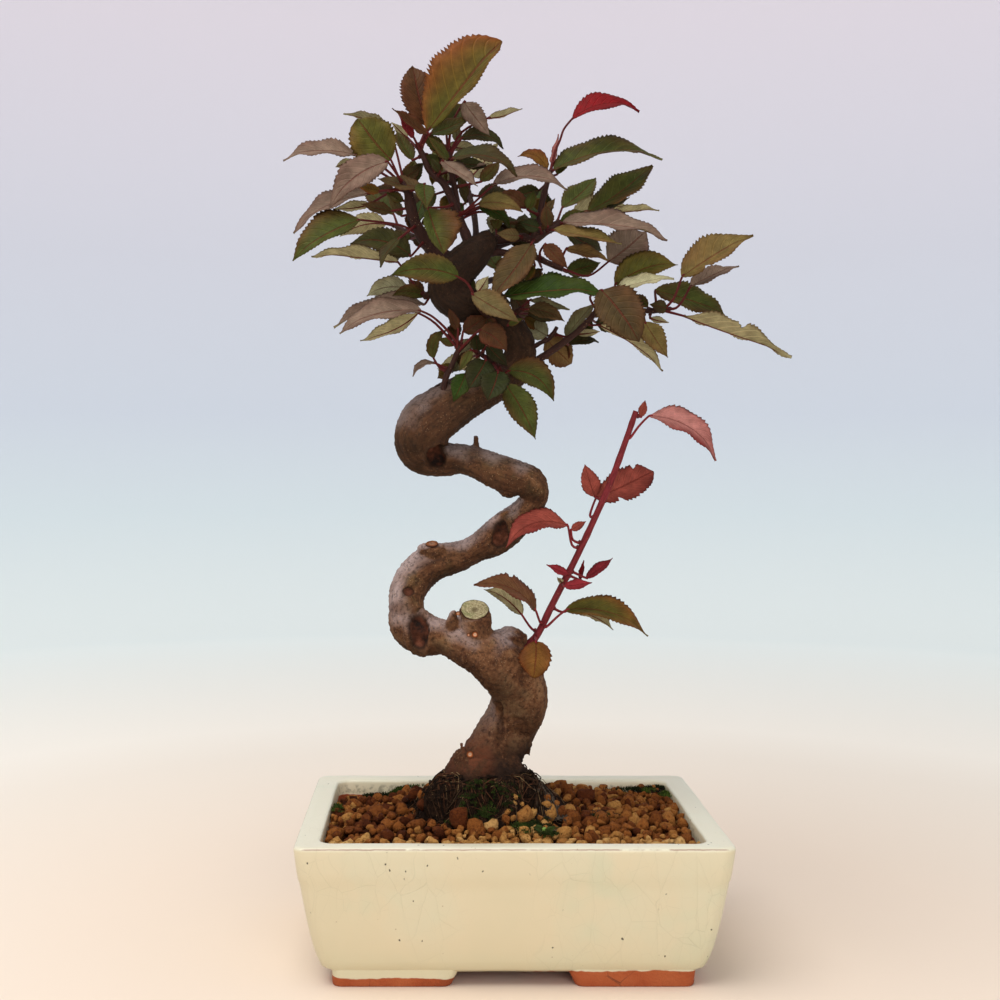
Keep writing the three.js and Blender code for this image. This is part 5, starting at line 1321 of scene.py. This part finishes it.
def clods(finish):
    """Loose granules: each is let down at the lowest of a few places"""
    rng = random.Random(GRANULES["seed"])
    shapes = clod_shapes(rng, GRANULES["kinds"])
    cell = 8.0
    half_width, half_depth = OPENING["width"] / 2, OPENING["depth"] / 2
    held, placed = {}, []
    tries = 0
    while len(placed) < GRANULES["count"] and tries < GRANULES["count"] * 3:
        tries += 1
        radius = rng.lognormvariate(math.log(GRANULES["radius"]), GRANULES["spread"])
        radius = min(max(radius, GRANULES["least"]), GRANULES["most"])
        options = []
        for _ in range(GRANULES["tries"]):
            x = rng.uniform(radius - half_width, half_width - radius)
            y = rng.uniform(radius - half_depth, half_depth - radius) - OPENING["forward"]
            kept_x, kept_y = into_opening(x, y, radius * 0.9)
            if mound_share(x, y) > clod_limit(x, y) or math.hypot(kept_x - x, kept_y - y) > 0.01:
                continue
            options.append((rest_height(x, y, radius, held, cell) - ground(x, y), x, y))
        if not options:
            continue
        lift, x, y = min(options)
        # Only smaller ones lie on the mound
        if mound_share(x, y) > 0.08 and radius > (3.3 if x > -14 and y < -8 else 2.4):
            continue
        if lift > 1.9:
            continue
        centre = Vector((x, y, ground(x, y) + lift))
        held.setdefault((int(x // cell), int(y // cell)), []).append((centre, radius))
        radii = Vector([radius * rng.uniform(0.88, 1.12) for _ in range(3)])
        # Painted shade on granules that lie sunk between the others
        tint = (clod_tone(rng, x, y), 0.12 * step_between(-0.4, -1.4, lift), 0)
        placed.append((centre, random_turn(rng), radii, tint, rng.randrange(len(shapes))))
    part = Part("soil_granules", [finish])
    scatter(part, placed, shapes)
    return part.finish("clay")


# Root mound, fine roots and moss
FIBRES = ["1d130c", "2b1c12", "3d291b", "4c3424", "241810", "5c3a28"]
# Angle, reach, height at the trunk and radius of the few thicker roots
THICK_ROOTS = [
    (176, 24, 4, 1.1), (195, 22, 3, 0.8), (212, 24, 4, 0.9), (236, 20, 3, 1.0), (252, 19, 2, 0.7),
    (270, 20, 3, 0.8), (288, 18, 3, 1.0), (305, 20, 2, 0.7), (325, 21, 4, 0.9), (350, 20, 4, 1.1),
    (10, 18, 3, 0.8), (40, 14, 2, 0.8), (80, 12, 3, 0.7), (120, 13, 3, 0.9), (150, 17, 3, 0.8),
]
# Column, row, spread in millimetres, threads and tone of loose dry threads
LITTER = [
    (558, 813, 6, 40, "75685a"), (546, 809, 5, 24, "62564a"), (600, 818, 4, 18, "4a3d31"),
    (655, 790, 9, 60, "2a2018"), (375, 792, 6, 36, "241c14"), (534, 830, 6, 36, "2d2319"),
    (549, 836, 4, 12, "b8a98c"), (425, 803, 4, 10, "2a1c13"),
]


def root_mound(finish):
    """The mound as one closed skin, stranded above and narrower below"""
    part = Part("fibrous_mound", [finish])
    middle_height = 54
    points = bmesh.ops.create_icosphere(part.mesh, subdivisions=6, radius=1)["verts"]
    for point in points:
        flat = point.co.xy
        way = flat.normalized() if flat.length > 1e-6 else Vector((1, 0))
        reach = 0.985 * mound_ripple(math.atan2(way.y, way.x)) * flat.length
        if point.co.z < 0:
            reach *= 1 + 0.38 * point.co.z
        x = MOUND["x"] + MOUND["half_width"] * reach * way.x
        y = MOUND["y"] + MOUND["half_depth"] * reach * way.y
        if point.co.z >= 0:
            turn = math.atan2(y, x - MOUND["x"])
            strands = 1.5 * abs(noise.noise(Vector((turn * 9, flat.length * 2.2, 4)))) - 0.4
            strands += 0.7 * noise.noise(Vector((x, y, 9)) * 1.5)
            rise = max(mound_height(x, y), MOUND["rim"] - 1) + strands - middle_height
            z = middle_height + rise * min(1, point.co.z * 3)
        else:
            z = middle_height + (middle_height - MOUND["bottom"]) * point.co.z
        point.co = Vector((x, y, z))
        shade = 0.5 + 0.8 * noise.noise(Vector((x, y, z)) * 0.25)
        point[part.tint] = (*blend(colour("140d08"), colour("332014"), shade), 1)
    face_outward(part.mesh)
    return part.finish("peat", ["root_mound"])


def fine_roots(finish):
    """Fibres that run from the foot of the trunk over the mound and the nearer granules"""
    rng = random.Random(FINE_ROOTS["seed"])
    part = Part("fine_roots", [finish])
    for _ in range(FINE_ROOTS["count"]):
        angle = rng.uniform(0, math.tau)
        pale = rng.random() < FINE_ROOTS["pale"]
        root_fibre(part, rng, {
            "angle": angle, "start": rng.uniform(13, 19), "reach": rng.uniform(7, 23),
            "height": rng.uniform(0.3, 3.5) if rng.random() < 0.8 else rng.uniform(2, 7),
            "radius": rng.uniform(0.12, 0.22) if pale else rng.uniform(0.18, 0.5),
            "tone": colour("8f7350") if pale else colour(rng.choice(FIBRES)),
        })
    for angle, reach, height, radius in THICK_ROOTS:
        root_fibre(part, rng, {
            "angle": math.radians(angle), "start": 12, "reach": reach, "height": height, "radius": radius,
            "tone": colour("3a271a"),
        })
    for column, row, spread, count, code in LITTER:
        litter(part, rng, on_ground(column, row), spread, count, colour(code))
    return part.finish("peat")


def root_fibre(part, rng, fibre):
    """One fibre: it swings and wavers on its way down the mound, and thins out"""
    swing = rng.uniform(-0.8, 0.8)
    wobble = rng.uniform(0, 50)
    steps = FINE_ROOTS["steps"]
    path = []
    for step in range(steps):
        share = step / (steps - 1)
        turn = fibre["angle"] + swing * share + 0.45 * noise.noise(Vector((wobble, share * 4, 0)))
        away = fibre["start"] + fibre["reach"] * share
        x, y = into_opening(-9 + math.cos(turn) * away * 1.08, math.sin(turn) * away * 0.92, 2)
        lift = fibre["height"] * (1 - share) ** 1.8 + 1.1 * abs(noise.noise(Vector((share * 5, wobble, 3))))
        z = ground(x, y) + lift * min(1, share * 4 + 0.4) + fibre["radius"] * 0.4
        path.append((Vector((x, y, min(z, 79))), fibre["radius"] * (1 - 0.65 * share)))
    part.tube(path, 5, fibre["tone"])


def litter(part, rng, middle, spread, count, tone):
    """Short dry threads lying every way"""
    for _ in range(count):
        x = middle.x + rng.gauss(0, spread * 0.5)
        y = middle.y + rng.gauss(0, spread * 0.28)
        turn, wobble = rng.uniform(0, math.tau), rng.uniform(0, 90)
        length = rng.uniform(2, 6)
        path = []
        for step in range(7):
            share = step / 6
            bend = 1.8 * noise.noise(Vector((wobble, share * 2, 0)))
            px, py = into_opening(
                x + math.cos(turn + bend) * length * share, y + math.sin(turn + bend) * length * share, 1.5)
            lift = 2.4 + 1.6 * abs(noise.noise(Vector((share * 3, wobble, 1))))
            path.append((Vector((px, py, ground(px, py) + lift)), 0.2 * (1 - 0.5 * share)))
        part.tube(path, 4, blend(tone, colour("241a12"), rng.uniform(0, 0.5)))


# Patches of moss: column, row, half width and half depth in millimetres, cushions, and how bright
MOSS = [
    [396, 797, 8, 4, 70, 0.8], [376, 797, 6, 3, 44, 0.1], [337, 814, 2, 7, 26, 0.6],
    [636, 790, 10, 3, 50, 0.12], [668, 800, 4, 4, 34, 0.95], [647, 797, 3, 2, 14, 1.1],
    [655, 788, 6, 3, 30, 0.1], [484, 804, 8, 6, 60, 0.4], [472, 798, 7, 5, 40, 0.35],
    [505, 796, 7, 4, 34, 0.2], [488, 815, 4, 4, 20, 0.4], [536, 832, 8, 6, 60, 0.25],
    [523, 834, 3, 4, 26, 0.6], [548, 840, 5, 3, 24, 0.3], [602, 822, 4, 3, 16, 0.15],
]


def moss(finish):
    """Cushions of short upright leaves"""
    rng = random.Random(MOSS_LEAVES["seed"])
    part = Part("moss", [finish])
    spike = bmesh.new()
    bmesh.ops.create_cone(spike, cap_ends=True, segments=3, radius1=0.2, radius2=0.02, depth=1)
    placed = []
    for column, row, half_width, half_depth, cushions, bright in MOSS:
        middle = on_ground(column, row)
        for _ in range(cushions):
            x = middle.x + rng.gauss(0, 0.5) * half_width
            y = middle.y + rng.gauss(0, 0.5) * half_depth
            x, y = into_opening(x, y, 1.5)
            top = ground(x, y) + (0.2 if mound_share(x, y) > 0 else 2.2) + rng.uniform(0, 1)
            for _ in range(MOSS_LEAVES["count"]):
                lean = Vector((rng.gauss(0, 0.45), rng.gauss(0, 0.45), 1)).normalized()
                length = rng.uniform(0.6, 1.6)
                turn = lean.to_track_quat("Z", "X").to_matrix()
                base = Vector((x + rng.gauss(0, 0.7), y + rng.gauss(0, 0.7), top))
                tint = blend(colour("161a0b"), colour("566a28"), bright * rng.uniform(0.3, 1.1))
                radii = Vector((rng.uniform(0.8, 1.3), rng.uniform(0.8, 1.3), length))
                placed.append((base + lean * length * 0.4, turn, radii, tint, 0))
    scatter(part, placed, [as_data("shape", spike)])
    return part.finish("sprout")


# Trunk
def trunk_parts():
    """The limbs, roots, stubs and knots as closed tubes that cross each other"""
    part = Part("rough_limbs", [])
    bare = (0, 0, 0)
    part.tube(wood_path(TRUNK, 5), 28, bare, flutes=0.03)
    for root in ROOTS:
        part.tube(wood_path(root, 6), 14, bare, flutes=0.06)
    for stub in TWIG_STUBS:
        part.tube(wood_path(stub, 3), 10, bare)
    for column, row, depth, across, deep, high in KNOTS:
        part.lump(at(column, row, depth), (across, deep, high), bare, detail=3, rough=0.25, seed=row)
    base, top = at(*CUT_STUB["base"]), at(*CUT_STUB["top"])
    radius = size(CUT_STUB["radius"], CUT_STUB["top"][2])
    path = [(base.lerp(top, share), radius * (1.2 - 0.2 * share)) for share in (0, 0.25, 0.5, 0.7, 0.85)]
    part.tube(path, 24, bare)
    stub_collar(part, radius)
    return part


def stub_face():
    """Middle, outward way and two ways across the sloping cut of the broad stub"""
    face = Vector((0, -CUT_STUB["lean"], math.sqrt(1 - CUT_STUB["lean"] ** 2)))
    across = Vector((1, 0, 0))
    return at(*CUT_STUB["top"]), face, across, face.cross(across)


def stub_collar(part, radius):
    """The ring of wood round the broad stub's cut"""
    middle, face, across, upward = stub_face()
    steps = [(-9, 1.12), (-5, 1.03), (-2, 1.0), (-0.6, 1.02), (0.25, 0.98)]
    sides = 28

    def place(turn, step):
        depth, share = steps[step]
        angle = turn / sides * math.tau
        ripple = 1 + 0.03 * math.sin(angle * 3 + 0.6) + 0.02 * math.sin(angle * 7)
        side = across * math.cos(angle) + upward * math.sin(angle)
        return middle + face * depth + side * radius * share * ripple, Vector(), (0, 0, 0, 1)

    part.loft(sides, len(steps) - 1, place)


def joined(part):
    """The closed tubes of a part as one skin of small even faces"""
    rough = as_object(part.name, as_data(part.name, part.mesh))
    remesh = rough.modifiers.new("join", "REMESH")
    remesh.mode = "VOXEL"
    remesh.voxel_size = RELIEF
    seen = bpy.context.evaluated_depsgraph_get()
    whole = bpy.data.meshes.new_from_object(rough.evaluated_get(seen))
    bpy.data.objects.remove(rough)
    return whole


def trunk(finish):
    """The stem, its roots and stubs as one skin with the bark's relief, kept by place along the stem"""
    part = Part("trunk_bark", [finish])
    part.mesh.from_mesh(joined(trunk_parts()))
    part.mesh.verts.ensure_lookup_table()
    for _ in range(2):
        bmesh.ops.smooth_vert(
            part.mesh, verts=part.mesh.verts, factor=0.5, use_axis_x=True, use_axis_y=True, use_axis_z=True)
    path = wood_path(TRUNK, 8)
    centres = [centre for centre, _ in path]
    frames, tree = frames_along(centres), tree_of(centres)
    wounds = [(at(*wound[:3]), Vector(wound[3:6]), *wound[6:]) for wound in WOUNDS]
    part.mesh.normal_update()
    moved = []
    for point in part.mesh.verts:
        _, index, _ = tree.find(point.co)
        centre, radius = path[index]
        along, across, upward, length = frames[index]
        away = point.co - centre
        spot = Vector((away.dot(across), away.dot(upward), length + away.dot(along)))
        moved.append((point, *bark_relief(point, spot, radius, wounds)))
        point[part.spot] = spot
    for point, shift, zones in moved:
        point.co += shift
        point[part.tint] = (*zones, 1)
    shade_smooth(part.mesh.faces)
    return part.finish("bark", ["trunk"])


def beside_cut(place):
    """1 on the broad stub's cut, where the bark has no relief, and 0 away from it"""
    middle, face, _, _ = stub_face()
    height = (place - middle).dot(face)
    away = (place - middle - face * height).length / size(CUT_STUB["radius"], CUT_STUB["top"][2])
    return step_between(-2.4, -0.8, height) * step_between(1.2, 1.02, away)


def bark_relief(point, spot, radius, wounds):
    """How far a point of the bark stands out, and its zones: wound, patina with painted highlight, and dirt
    with painted shade
    """
    stretched = Vector((spot.x * 0.3, spot.y * 0.3, spot.z * 0.06))
    broad = noise.noise(stretched * 0.55) * min(radius * 0.13, 1.3)
    ridges = (0.5 - abs(noise.noise(stretched * 1.9 + Vector((5, 0, 0))))) * 0.5
    wrinkles = noise.noise(Vector((spot.x * 0.12, spot.y * 0.12, spot.z * 0.75))) * 0.4
    crumbs = noise.noise(point.co * 0.9) * 0.28
    foot = step_between(92, 70, point.co.z + 6 * noise.noise(point.co * 0.13))
    lift = broad + ridges + wrinkles + crumbs * (1 + 2 * foot) + 0.9 * foot * noise.noise(point.co * 0.34)
    wound = 0
    for centre, radii, depth, raw in wounds:
        away = point.co - centre
        ratio = math.sqrt(sum((a / b) ** 2 for a, b in zip(away, radii)))
        ratio += 0.13 * noise.noise(point.co * 0.4)
        if ratio < 1.7:
            sink = step_between(1.02, 0.66, ratio)
            lift -= depth * sink
            lift += 0.38 * depth * math.exp(-((ratio - 1.16) / 0.15) ** 2)
            wound = max(wound, raw * step_between(1.04, 0.72, ratio))
    # Painted highlight: patina is laid on faces turned up and to the left, and fades out in the crown
    upness = 0.8 * point.normal.z - 0.4 * point.normal.x
    patina_and_highlight = step_between(0.12, 0.9, upness + 0.45 * noise.noise(point.co * 0.12))
    patina_and_highlight *= step_between(84, 130, point.co.z) * step_between(262, 236, point.co.z) * (1 - wound)
    # Painted shade: the undersides are darkened
    shade = 0.7 * step_between(0.0, -0.8, point.normal.z + 0.25 * noise.noise(point.co * 0.15))
    cut = beside_cut(point.co)
    lift = lift * (1 - cut) - 0.3 * cut - 0.7 * step_between(78, 71, point.co.z)
    return point.normal * lift, (wound, patina_and_highlight * (1 - cut), max(foot, shade))


def cut_faces(finish):
    """The broad stub's pale end grain and the small pruning cuts"""
    part = Part("pruning_cuts", [finish])
    middle, face, across, upward = stub_face()
    radius = size(CUT_STUB["radius"], CUT_STUB["top"][2])
    disc(part, middle + face * 0.5, face, across, upward, radius * 0.96, 1.4, (0, 0, 0))
    for column, row, depth, pixels, upward_share, age in PRUNED:
        centre = at(column, row, depth)
        way = Vector((-0.1, -1, upward_share)).normalized()
        side = way.cross(Vector((0, 0, 1))).normalized()
        disc(part, centre, way, side, way.cross(side), size(pixels, depth), 1.6, (1, age, 0))
    return part.finish("bark")


def disc(part, middle, face, across, upward, radius, thickness, tint):
    """A slightly hollow round cut: its spot's last number is the share of the way out"""
    shares = [0.03, 0.3, 0.55, 0.75, 0.9, 0.98, 1.0, 0.8, 0.05]
    heights = [-0.25, -0.22, -0.12, -0.02, 0.05, 0.0, -0.3, -1, -1]
    sides = 40

    def place(turn, step):
        angle = turn / sides * math.tau
        share = shares[step]
        height = heights[step] * (thickness if step > 5 else 1)
        ripple = 1 + 0.025 * math.sin(angle * 3 + 0.6) + 0.015 * math.sin(angle * 8 + 1)
        side = across * math.cos(angle) + upward * math.sin(angle)
        spot = Vector((math.cos(angle) * share, math.sin(angle) * share, share if step < 6 else 1))
        return middle + face * height + side * radius * share * ripple, spot, (*tint, 1)

    part.loft(sides, len(shares) - 1, place)


# Leaves
def blade_frame(row):
    """Where a blade lies, which way it faces, and how wide, bowed and folded it is"""
    base_column, base_row, tip_column, tip_row, half_width, bow, base_depth, tip_depth, look = row[1:10]
    base = at(base_column, base_row, base_depth)
    tip = at(tip_column, tip_row, tip_depth)
    axis = tip - base
    along = axis.normalized()
    middle_depth = (base_depth + tip_depth) / 2
    to_eye = (EYE - (base + tip) / 2).normalized()
    upward = along.cross(to_eye).normalized()
    if upward.z < 0:
        upward.negate()
    facing = (to_eye - along * to_eye.dot(along)).normalized()
    seen_half = size(max(half_width, 3), middle_depth)
    true_half = max(seen_half, BLADE["least"] * axis.length)
    shown = min(0.97, seen_half / true_half) * (-1 if look == "pale" else 1)
    hidden = math.sqrt(1 - shown * shown)
    normal = upward * hidden + facing * shown
    lifted = hidden * (BLADE["arch"] * axis.length + math.sin(BLADE["fold"]) * true_half)
    return {
        "base": base, "axis": axis, "upward": upward, "normal": normal, "half": true_half,
        "bow": size(bow, middle_depth) - BLADE["seen"] * lifted, "length": axis.length,
        "profile": FULL_BLADES.get(row[0], BLADE["profile"]), "halves": UNEVEN.get(row[0], (1, 1)),
    }


def rib_point(blade, share):
    """A place on the midrib"""
    bulge = 4 * share * (1 - share)
    return (blade["base"] + blade["axis"] * share + blade["upward"] * (blade["bow"] * bulge)
            + blade["normal"] * (BLADE["arch"] * blade["length"] * bulge))


def half_width_share(share, profile):
    """How wide the blade is there, as a share of its widest"""
    base, point = profile
    widest = (base / (base + point)) ** base * (point / (base + point)) ** point
    return share ** base * (1 - share) ** point / widest


def blade_point(blade, share, across):
    """A place on the middle of the blade, and the way out of its face there"""
    step = 0.02
    along = (rib_point(blade, min(share + step, 1)) - rib_point(blade, max(share - step, 0))).normalized()
    normal = (blade["normal"] - along * blade["normal"].dot(along)).normalized()
    side = along.cross(normal)
    width = max(half_width_share(min(max(share, 0), 1), blade["profile"]), 0.03) * blade["halves"][across > 0]
    reach = blade["half"] * width * across
    rise = abs(reach) * math.sin(BLADE["fold"]) * (1.18 - 0.32 * abs(across))
    ripple = math.sin(math.tau * (share * blade["waves"] + blade["phase"] + (0.3 if across > 0 else 0)))
    rise += blade["half"] * 0.09 * ripple * across * across
    quilt = math.sin(math.tau * (share * 8.2 - abs(across) * 1.9 - across * across * 0.7))
    rise += 0.13 * quilt * math.sin(math.pi * abs(across)) * min(1, blade["half"] / 7)
    droop = -blade["length"] * 0.05 * step_between(0.72, 1, share)
    place = rib_point(blade, share) + side * (reach * math.cos(BLADE["fold"])) + normal * (rise + droop)
    return place, normal


def leaf_blade(part, row, rng):
    """A thin toothed blade with its midrib, its tint shaded towards the margin and the underside"""
    blade = blade_frame(row)
    blade["waves"] = rng.uniform(1.6, 2.8)
    blade["phase"] = rng.random()
    teeth = max(6, round(blade["length"] * 0.56))
    depths = [rng.uniform(0.06, 0.15) for _ in range(2 * teeth + 1)]
    tears = TEARS.get(row[0], ())
    columns = BLADE["columns"]
    around = 2 * columns
    upper, margin, under = [colour(code) for code in LOOKS[row[9]]]
    shade = rng.uniform(0.88, 1.14)
    lean = rng.uniform(-0.25, 0.25) - 0.4 * (blade["halves"][0] - blade["halves"][1])
    patch = Vector((rng.uniform(0, 90), rng.uniform(0, 90), 0))

    def place(turn, step):
        top = turn <= columns
        across = -1 + 2 * turn / columns if top else 1 - 2 * (turn - columns) / columns
        share = step / (2 * teeth)
        for side_sign, where, depth, spread in tears:
            if across * side_sign > 0:
                across *= 1 - depth * math.exp(-((share - where) / spread) ** 2) * abs(across) ** 2
        if turn in (0, columns) and 0 < step < 2 * teeth:
            if step % 2 == 0:
                across *= 1 - depths[step]
            else:
                share += 0.5 / (2 * teeth)
        point, normal = blade_point(blade, min(share, 1), across)
        is_edge = turn in (0, columns)
        thin = 0 if is_edge else BLADE["thick"] / 2 * (1 - abs(across) ** 6) * (1 if top else -1)
        edge = 0 if is_edge else 1
        side = 0.5 + 0.5 * edge * (1 if top else -1)
        patches = noise.noise(point * 0.07 + patch)
        outward = 0.75 * abs(across) ** 1.6 + lean * across + 0.55 * patches + 0.15 * (share - 0.5)
        tint = blend(upper, margin, outward) if top else blend(under, upper, 0.1 + 0.25 * patches)
        tint = tuple(value * shade for value in tint)
        return point + normal * thin, Vector((across, share, side)), (*tint, 1)

    part.loft(around, 2 * teeth, place)
    rib = []
    for step in range(9):
        share = 0.88 * step / 8
        point, normal = blade_point(blade, share, 0)
        rib.append((point - normal * 0.16, 0.42 * (1 - 0.8 * share)))
    part.tube(rib, 6, colour("64281f") if row[9] != "seedling" else under, finish=1)
    return blade


def nearest_on_stems(stems, place, back=0):
    """The nearest point on the stems' middles, kept back from a stem's end"""
    best = None
    for stem in stems:
        for index in range(1, len(stem) - 1):
            start, end = at(*stem[index][:3]), at(*stem[index + 1][:3])
            line = end - start
            is_last = index + 2 == len(stem)
            most = max(0.1, 1 - back / line.length) if is_last else 1
            share = min(min(max((place - start).dot(line) / line.length_squared, 0), 1), most)
            point = start + line * share
            distance = (point - place).length
            if best is None or distance < best[0]:
                best = (distance, point)
    return best[1]


def petiole(part, row, blade, stems, number, tone):
    """The stalk from a blade to the nearest stem, with a bud where it starts"""
    base_depth, way = row[7], row[10:]
    path = [rib_point(blade, 0)]
    for index, (column, line) in enumerate(way):
        on_stem = nearest_on_stems(stems, at(column, line, base_depth))
        share = (index + 1) / (len(way) + 1)
        path.append(at(column, line, base_depth + (on_stem.y - base_depth) * share))
    back = PETIOLE["first"] + PETIOLE["step"] * (number % PETIOLE["nodes"])
    foot_point = nearest_on_stems(stems, path[-1], back)
    path.append(foot_point)
    inside = rib_point(blade, 0.04)
    curve = [Vector(values) for values in smooth_path([list(inside), *[list(place) for place in path]], 4)]
    count = len(curve) - 1
    radii = [PETIOLE["radius"] * (PETIOLE["end"] + 0.45 * (index / count) ** 3) for index in range(count + 1)]
    part.tube(list(zip(curve, radii)), 8, tone, finish=1)
    bud = foot_point.lerp(path[-2], min(0.5, 1.6 / max((path[-2] - foot_point).length, 1e-3)))
    bud_tone = blend(tone, colour("3a1c16"), 0.5)
    part.lump(bud, (1.05, 1.05, 1.2), bud_tone, finish=1, detail=1, rough=0.3, seed=number)


def inner_leaf(stems, rng, number):
    """One of the many small leaves that fill the crown, close behind a stem"""
    stem = rng.choice(stems)
    start = rng.randrange(1, len(stem) - 1)
    share = rng.random()
    column, row, depth = [a + (b - a) * share for a, b in zip(stem[start][:3], stem[start + 1][:3])]
    turn = rng.uniform(0, math.tau)
    reach, length = rng.uniform(7, 14), rng.uniform(20, 34)
    back = rng.uniform(3, 16)
    base = (column + math.cos(turn) * reach, row + math.sin(turn) * reach * 0.8)
    turn += rng.uniform(-0.7, 0.7)
    tip = (base[0] + math.cos(turn) * length, base[1] + math.sin(turn) * length * 0.7)
    look = rng.choice(["dark", "brown", "olive", "dark", "brown", "bronze", "pale"])
    return [
        f"inner{number}", *base, *tip, rng.uniform(6, 9.5), rng.uniform(-1, 4), depth + back,
        depth + back + rng.uniform(-2, 12), look]


def shoot(name, finishes):
    """One leafy shoot: its stems, swollen at the nodes, and each leaf on its petiole"""
    rng = random.Random(name)
    part = Part(name + "_leaves", finishes)
    stems = SHOOTS[name]["stems"]
    wood, stalk, slot = OTHER_WOOD.get(name, USUAL_WOOD)
    for stem in stems:
        path = wood_path(stem, 6)
        swollen = [
            (centre, radius * (1 + 0.12 * max(0, math.sin(index * 1.1 + len(name))) ** 4))
            for index, (centre, radius) in enumerate(path)
        ]
        part.tube(swollen, 10, colour(wood), finish=1)
    inner = [inner_leaf(stems, rng, number) for number in range(INNER_LEAVES.get(name, 0))]
    for number, row in enumerate(SHOOTS[name]["leaves"] + inner):
        blade = leaf_blade(part, row, rng)
        petiole(part, row, blade, stems, number, colour(stalk))
    return part.finish(slot, [name])


# Studio: a round floor that curves up into a pale wall, soft lamps and the picture's own viewpoint
def studio():
    """The paper's wash of colour, from warm by the pot to cool up the wall, on one spun sweep"""
    reach, curve = STUDIO["floor"], STUDIO["curve"]
    make = Finish("studio_paper")
    x, y, z = make.axes(make.object)
    away = (x * x + y * y) ** 0.5
    run = (away.math("MINIMUM", reach) + z) / STUDIO["run"]
    base = make.ramp(run, [
        (0.0, "e2d0bd"), (0.1, "ebdbc9"), (0.25, "f2ece0"), (0.52, "d6dfda"),
        (0.59, "c2d0d3"), (0.66, "b8c1cd"), (0.78, "bcbdc9"), (0.96, "cfc5cf")])
    glow_stops = [(0.2, (0, 0, 0)), (0.5, (STUDIO["glow"],) * 3)]
    glow = make.node("ShaderNodeValToRGB", {"stops": glow_stops}, {0: run}).outputs[0]
    paper = make.surface(base, 0.9, 0.0, {"Emission Color": glow, "Emission Strength": 1.0})
    paper.cycles.emission_sampling = "NONE"
    mesh = bmesh.new()
    profile = [(0.001, 0.0), (reach, 0.0)]
    for step in range(1, 13):
        angle = step / 12 * math.pi / 2
        profile.append((reach + curve * math.sin(angle), curve * (1 - math.cos(angle))))
    profile.append((reach + curve, STUDIO["wall"]))
    points = [mesh.verts.new((radius, 0, height)) for radius, height in profile]
    edges = [mesh.edges.new(pair) for pair in zip(points, points[1:])]
    bmesh.ops.spin(
        mesh, geom=points + edges, cent=(0, 0, 0), axis=(0, 0, 1), angle=math.tau, steps=96, use_merge=True)
    bmesh.ops.recalc_face_normals(mesh, faces=mesh.faces)
    bmesh.ops.reverse_faces(mesh, faces=mesh.faces)
    shade_smooth(mesh.faces)
    floor = as_object("studio_sweep", as_data("studio_sweep", mesh))
    floor.data.materials.append(paper)


def lamp(name, place, aim, width, watts, shade):
    light = bpy.data.lights.new(name, "AREA")
    light.shape = "DISK"
    light.size = width
    light.energy = watts
    light.color = shade
    holder = as_object(name, light)
    holder.location = place
    holder.rotation_euler = (Vector(aim) - Vector(place)).to_track_quat("-Z", "Y").to_euler()


def light_and_camera():
    scene = bpy.context.scene
    scene.view_settings.view_transform = "Standard"
    world = bpy.data.worlds.new("soft_sky")
    world.use_nodes = True
    world.node_tree.nodes["Background"].inputs["Color"].default_value = (0.93, 0.96, 1.0, 1)
    world.node_tree.nodes["Background"].inputs["Strength"].default_value = 0.465
    scene.world = world
    lamp("overhead", (-0.4, -0.35, 1.25), aim=(0, 0, 0.2), width=1.1, watts=12.5, shade=(1.0, 0.97, 0.94))
    lamp("front", (0.3, -1.25, 0.55), aim=(0, 0, 0.15), width=0.8, watts=4.3, shade=(1.0, 0.97, 0.93))
    camera = bpy.data.cameras.new("camera")
    camera.sensor_width = SENSOR
    camera.lens = SENSOR * FOCAL / PICTURE
    camera.shift_x = 0.5 - CENTRE[0] / PICTURE
    camera.shift_y = CENTRE[1] / PICTURE - 0.5
    holder = as_object("camera", camera)
    holder.location = TO_FRAME @ EYE
    holder.rotation_euler = (math.pi / 2, 0, 0)
    scene.camera = holder


ROOT_PATH, ROOT_TREE = root_path_tree()
light_and_camera()
studio()
bark = bark_finish()
granules = clod_finish()
peat = peat_finish()
leaf_finishes = [leaf_finish(), twig_finish()]
pot()
soil_bed(granules)
clods(granules)
root_mound(peat)
fine_roots(peat)
moss(moss_finish())
trunk(bark)
cut_faces(cut_wood_finish())
for shoot_name in SHOOTS:
    shoot(shoot_name, leaf_finishes)
netting = netting_finish()
for node_name in ("drain_mesh_left", "drain_mesh_right"):
    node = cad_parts[node_name]
    node.data.materials.clear()
    node.data.materials.append(netting)
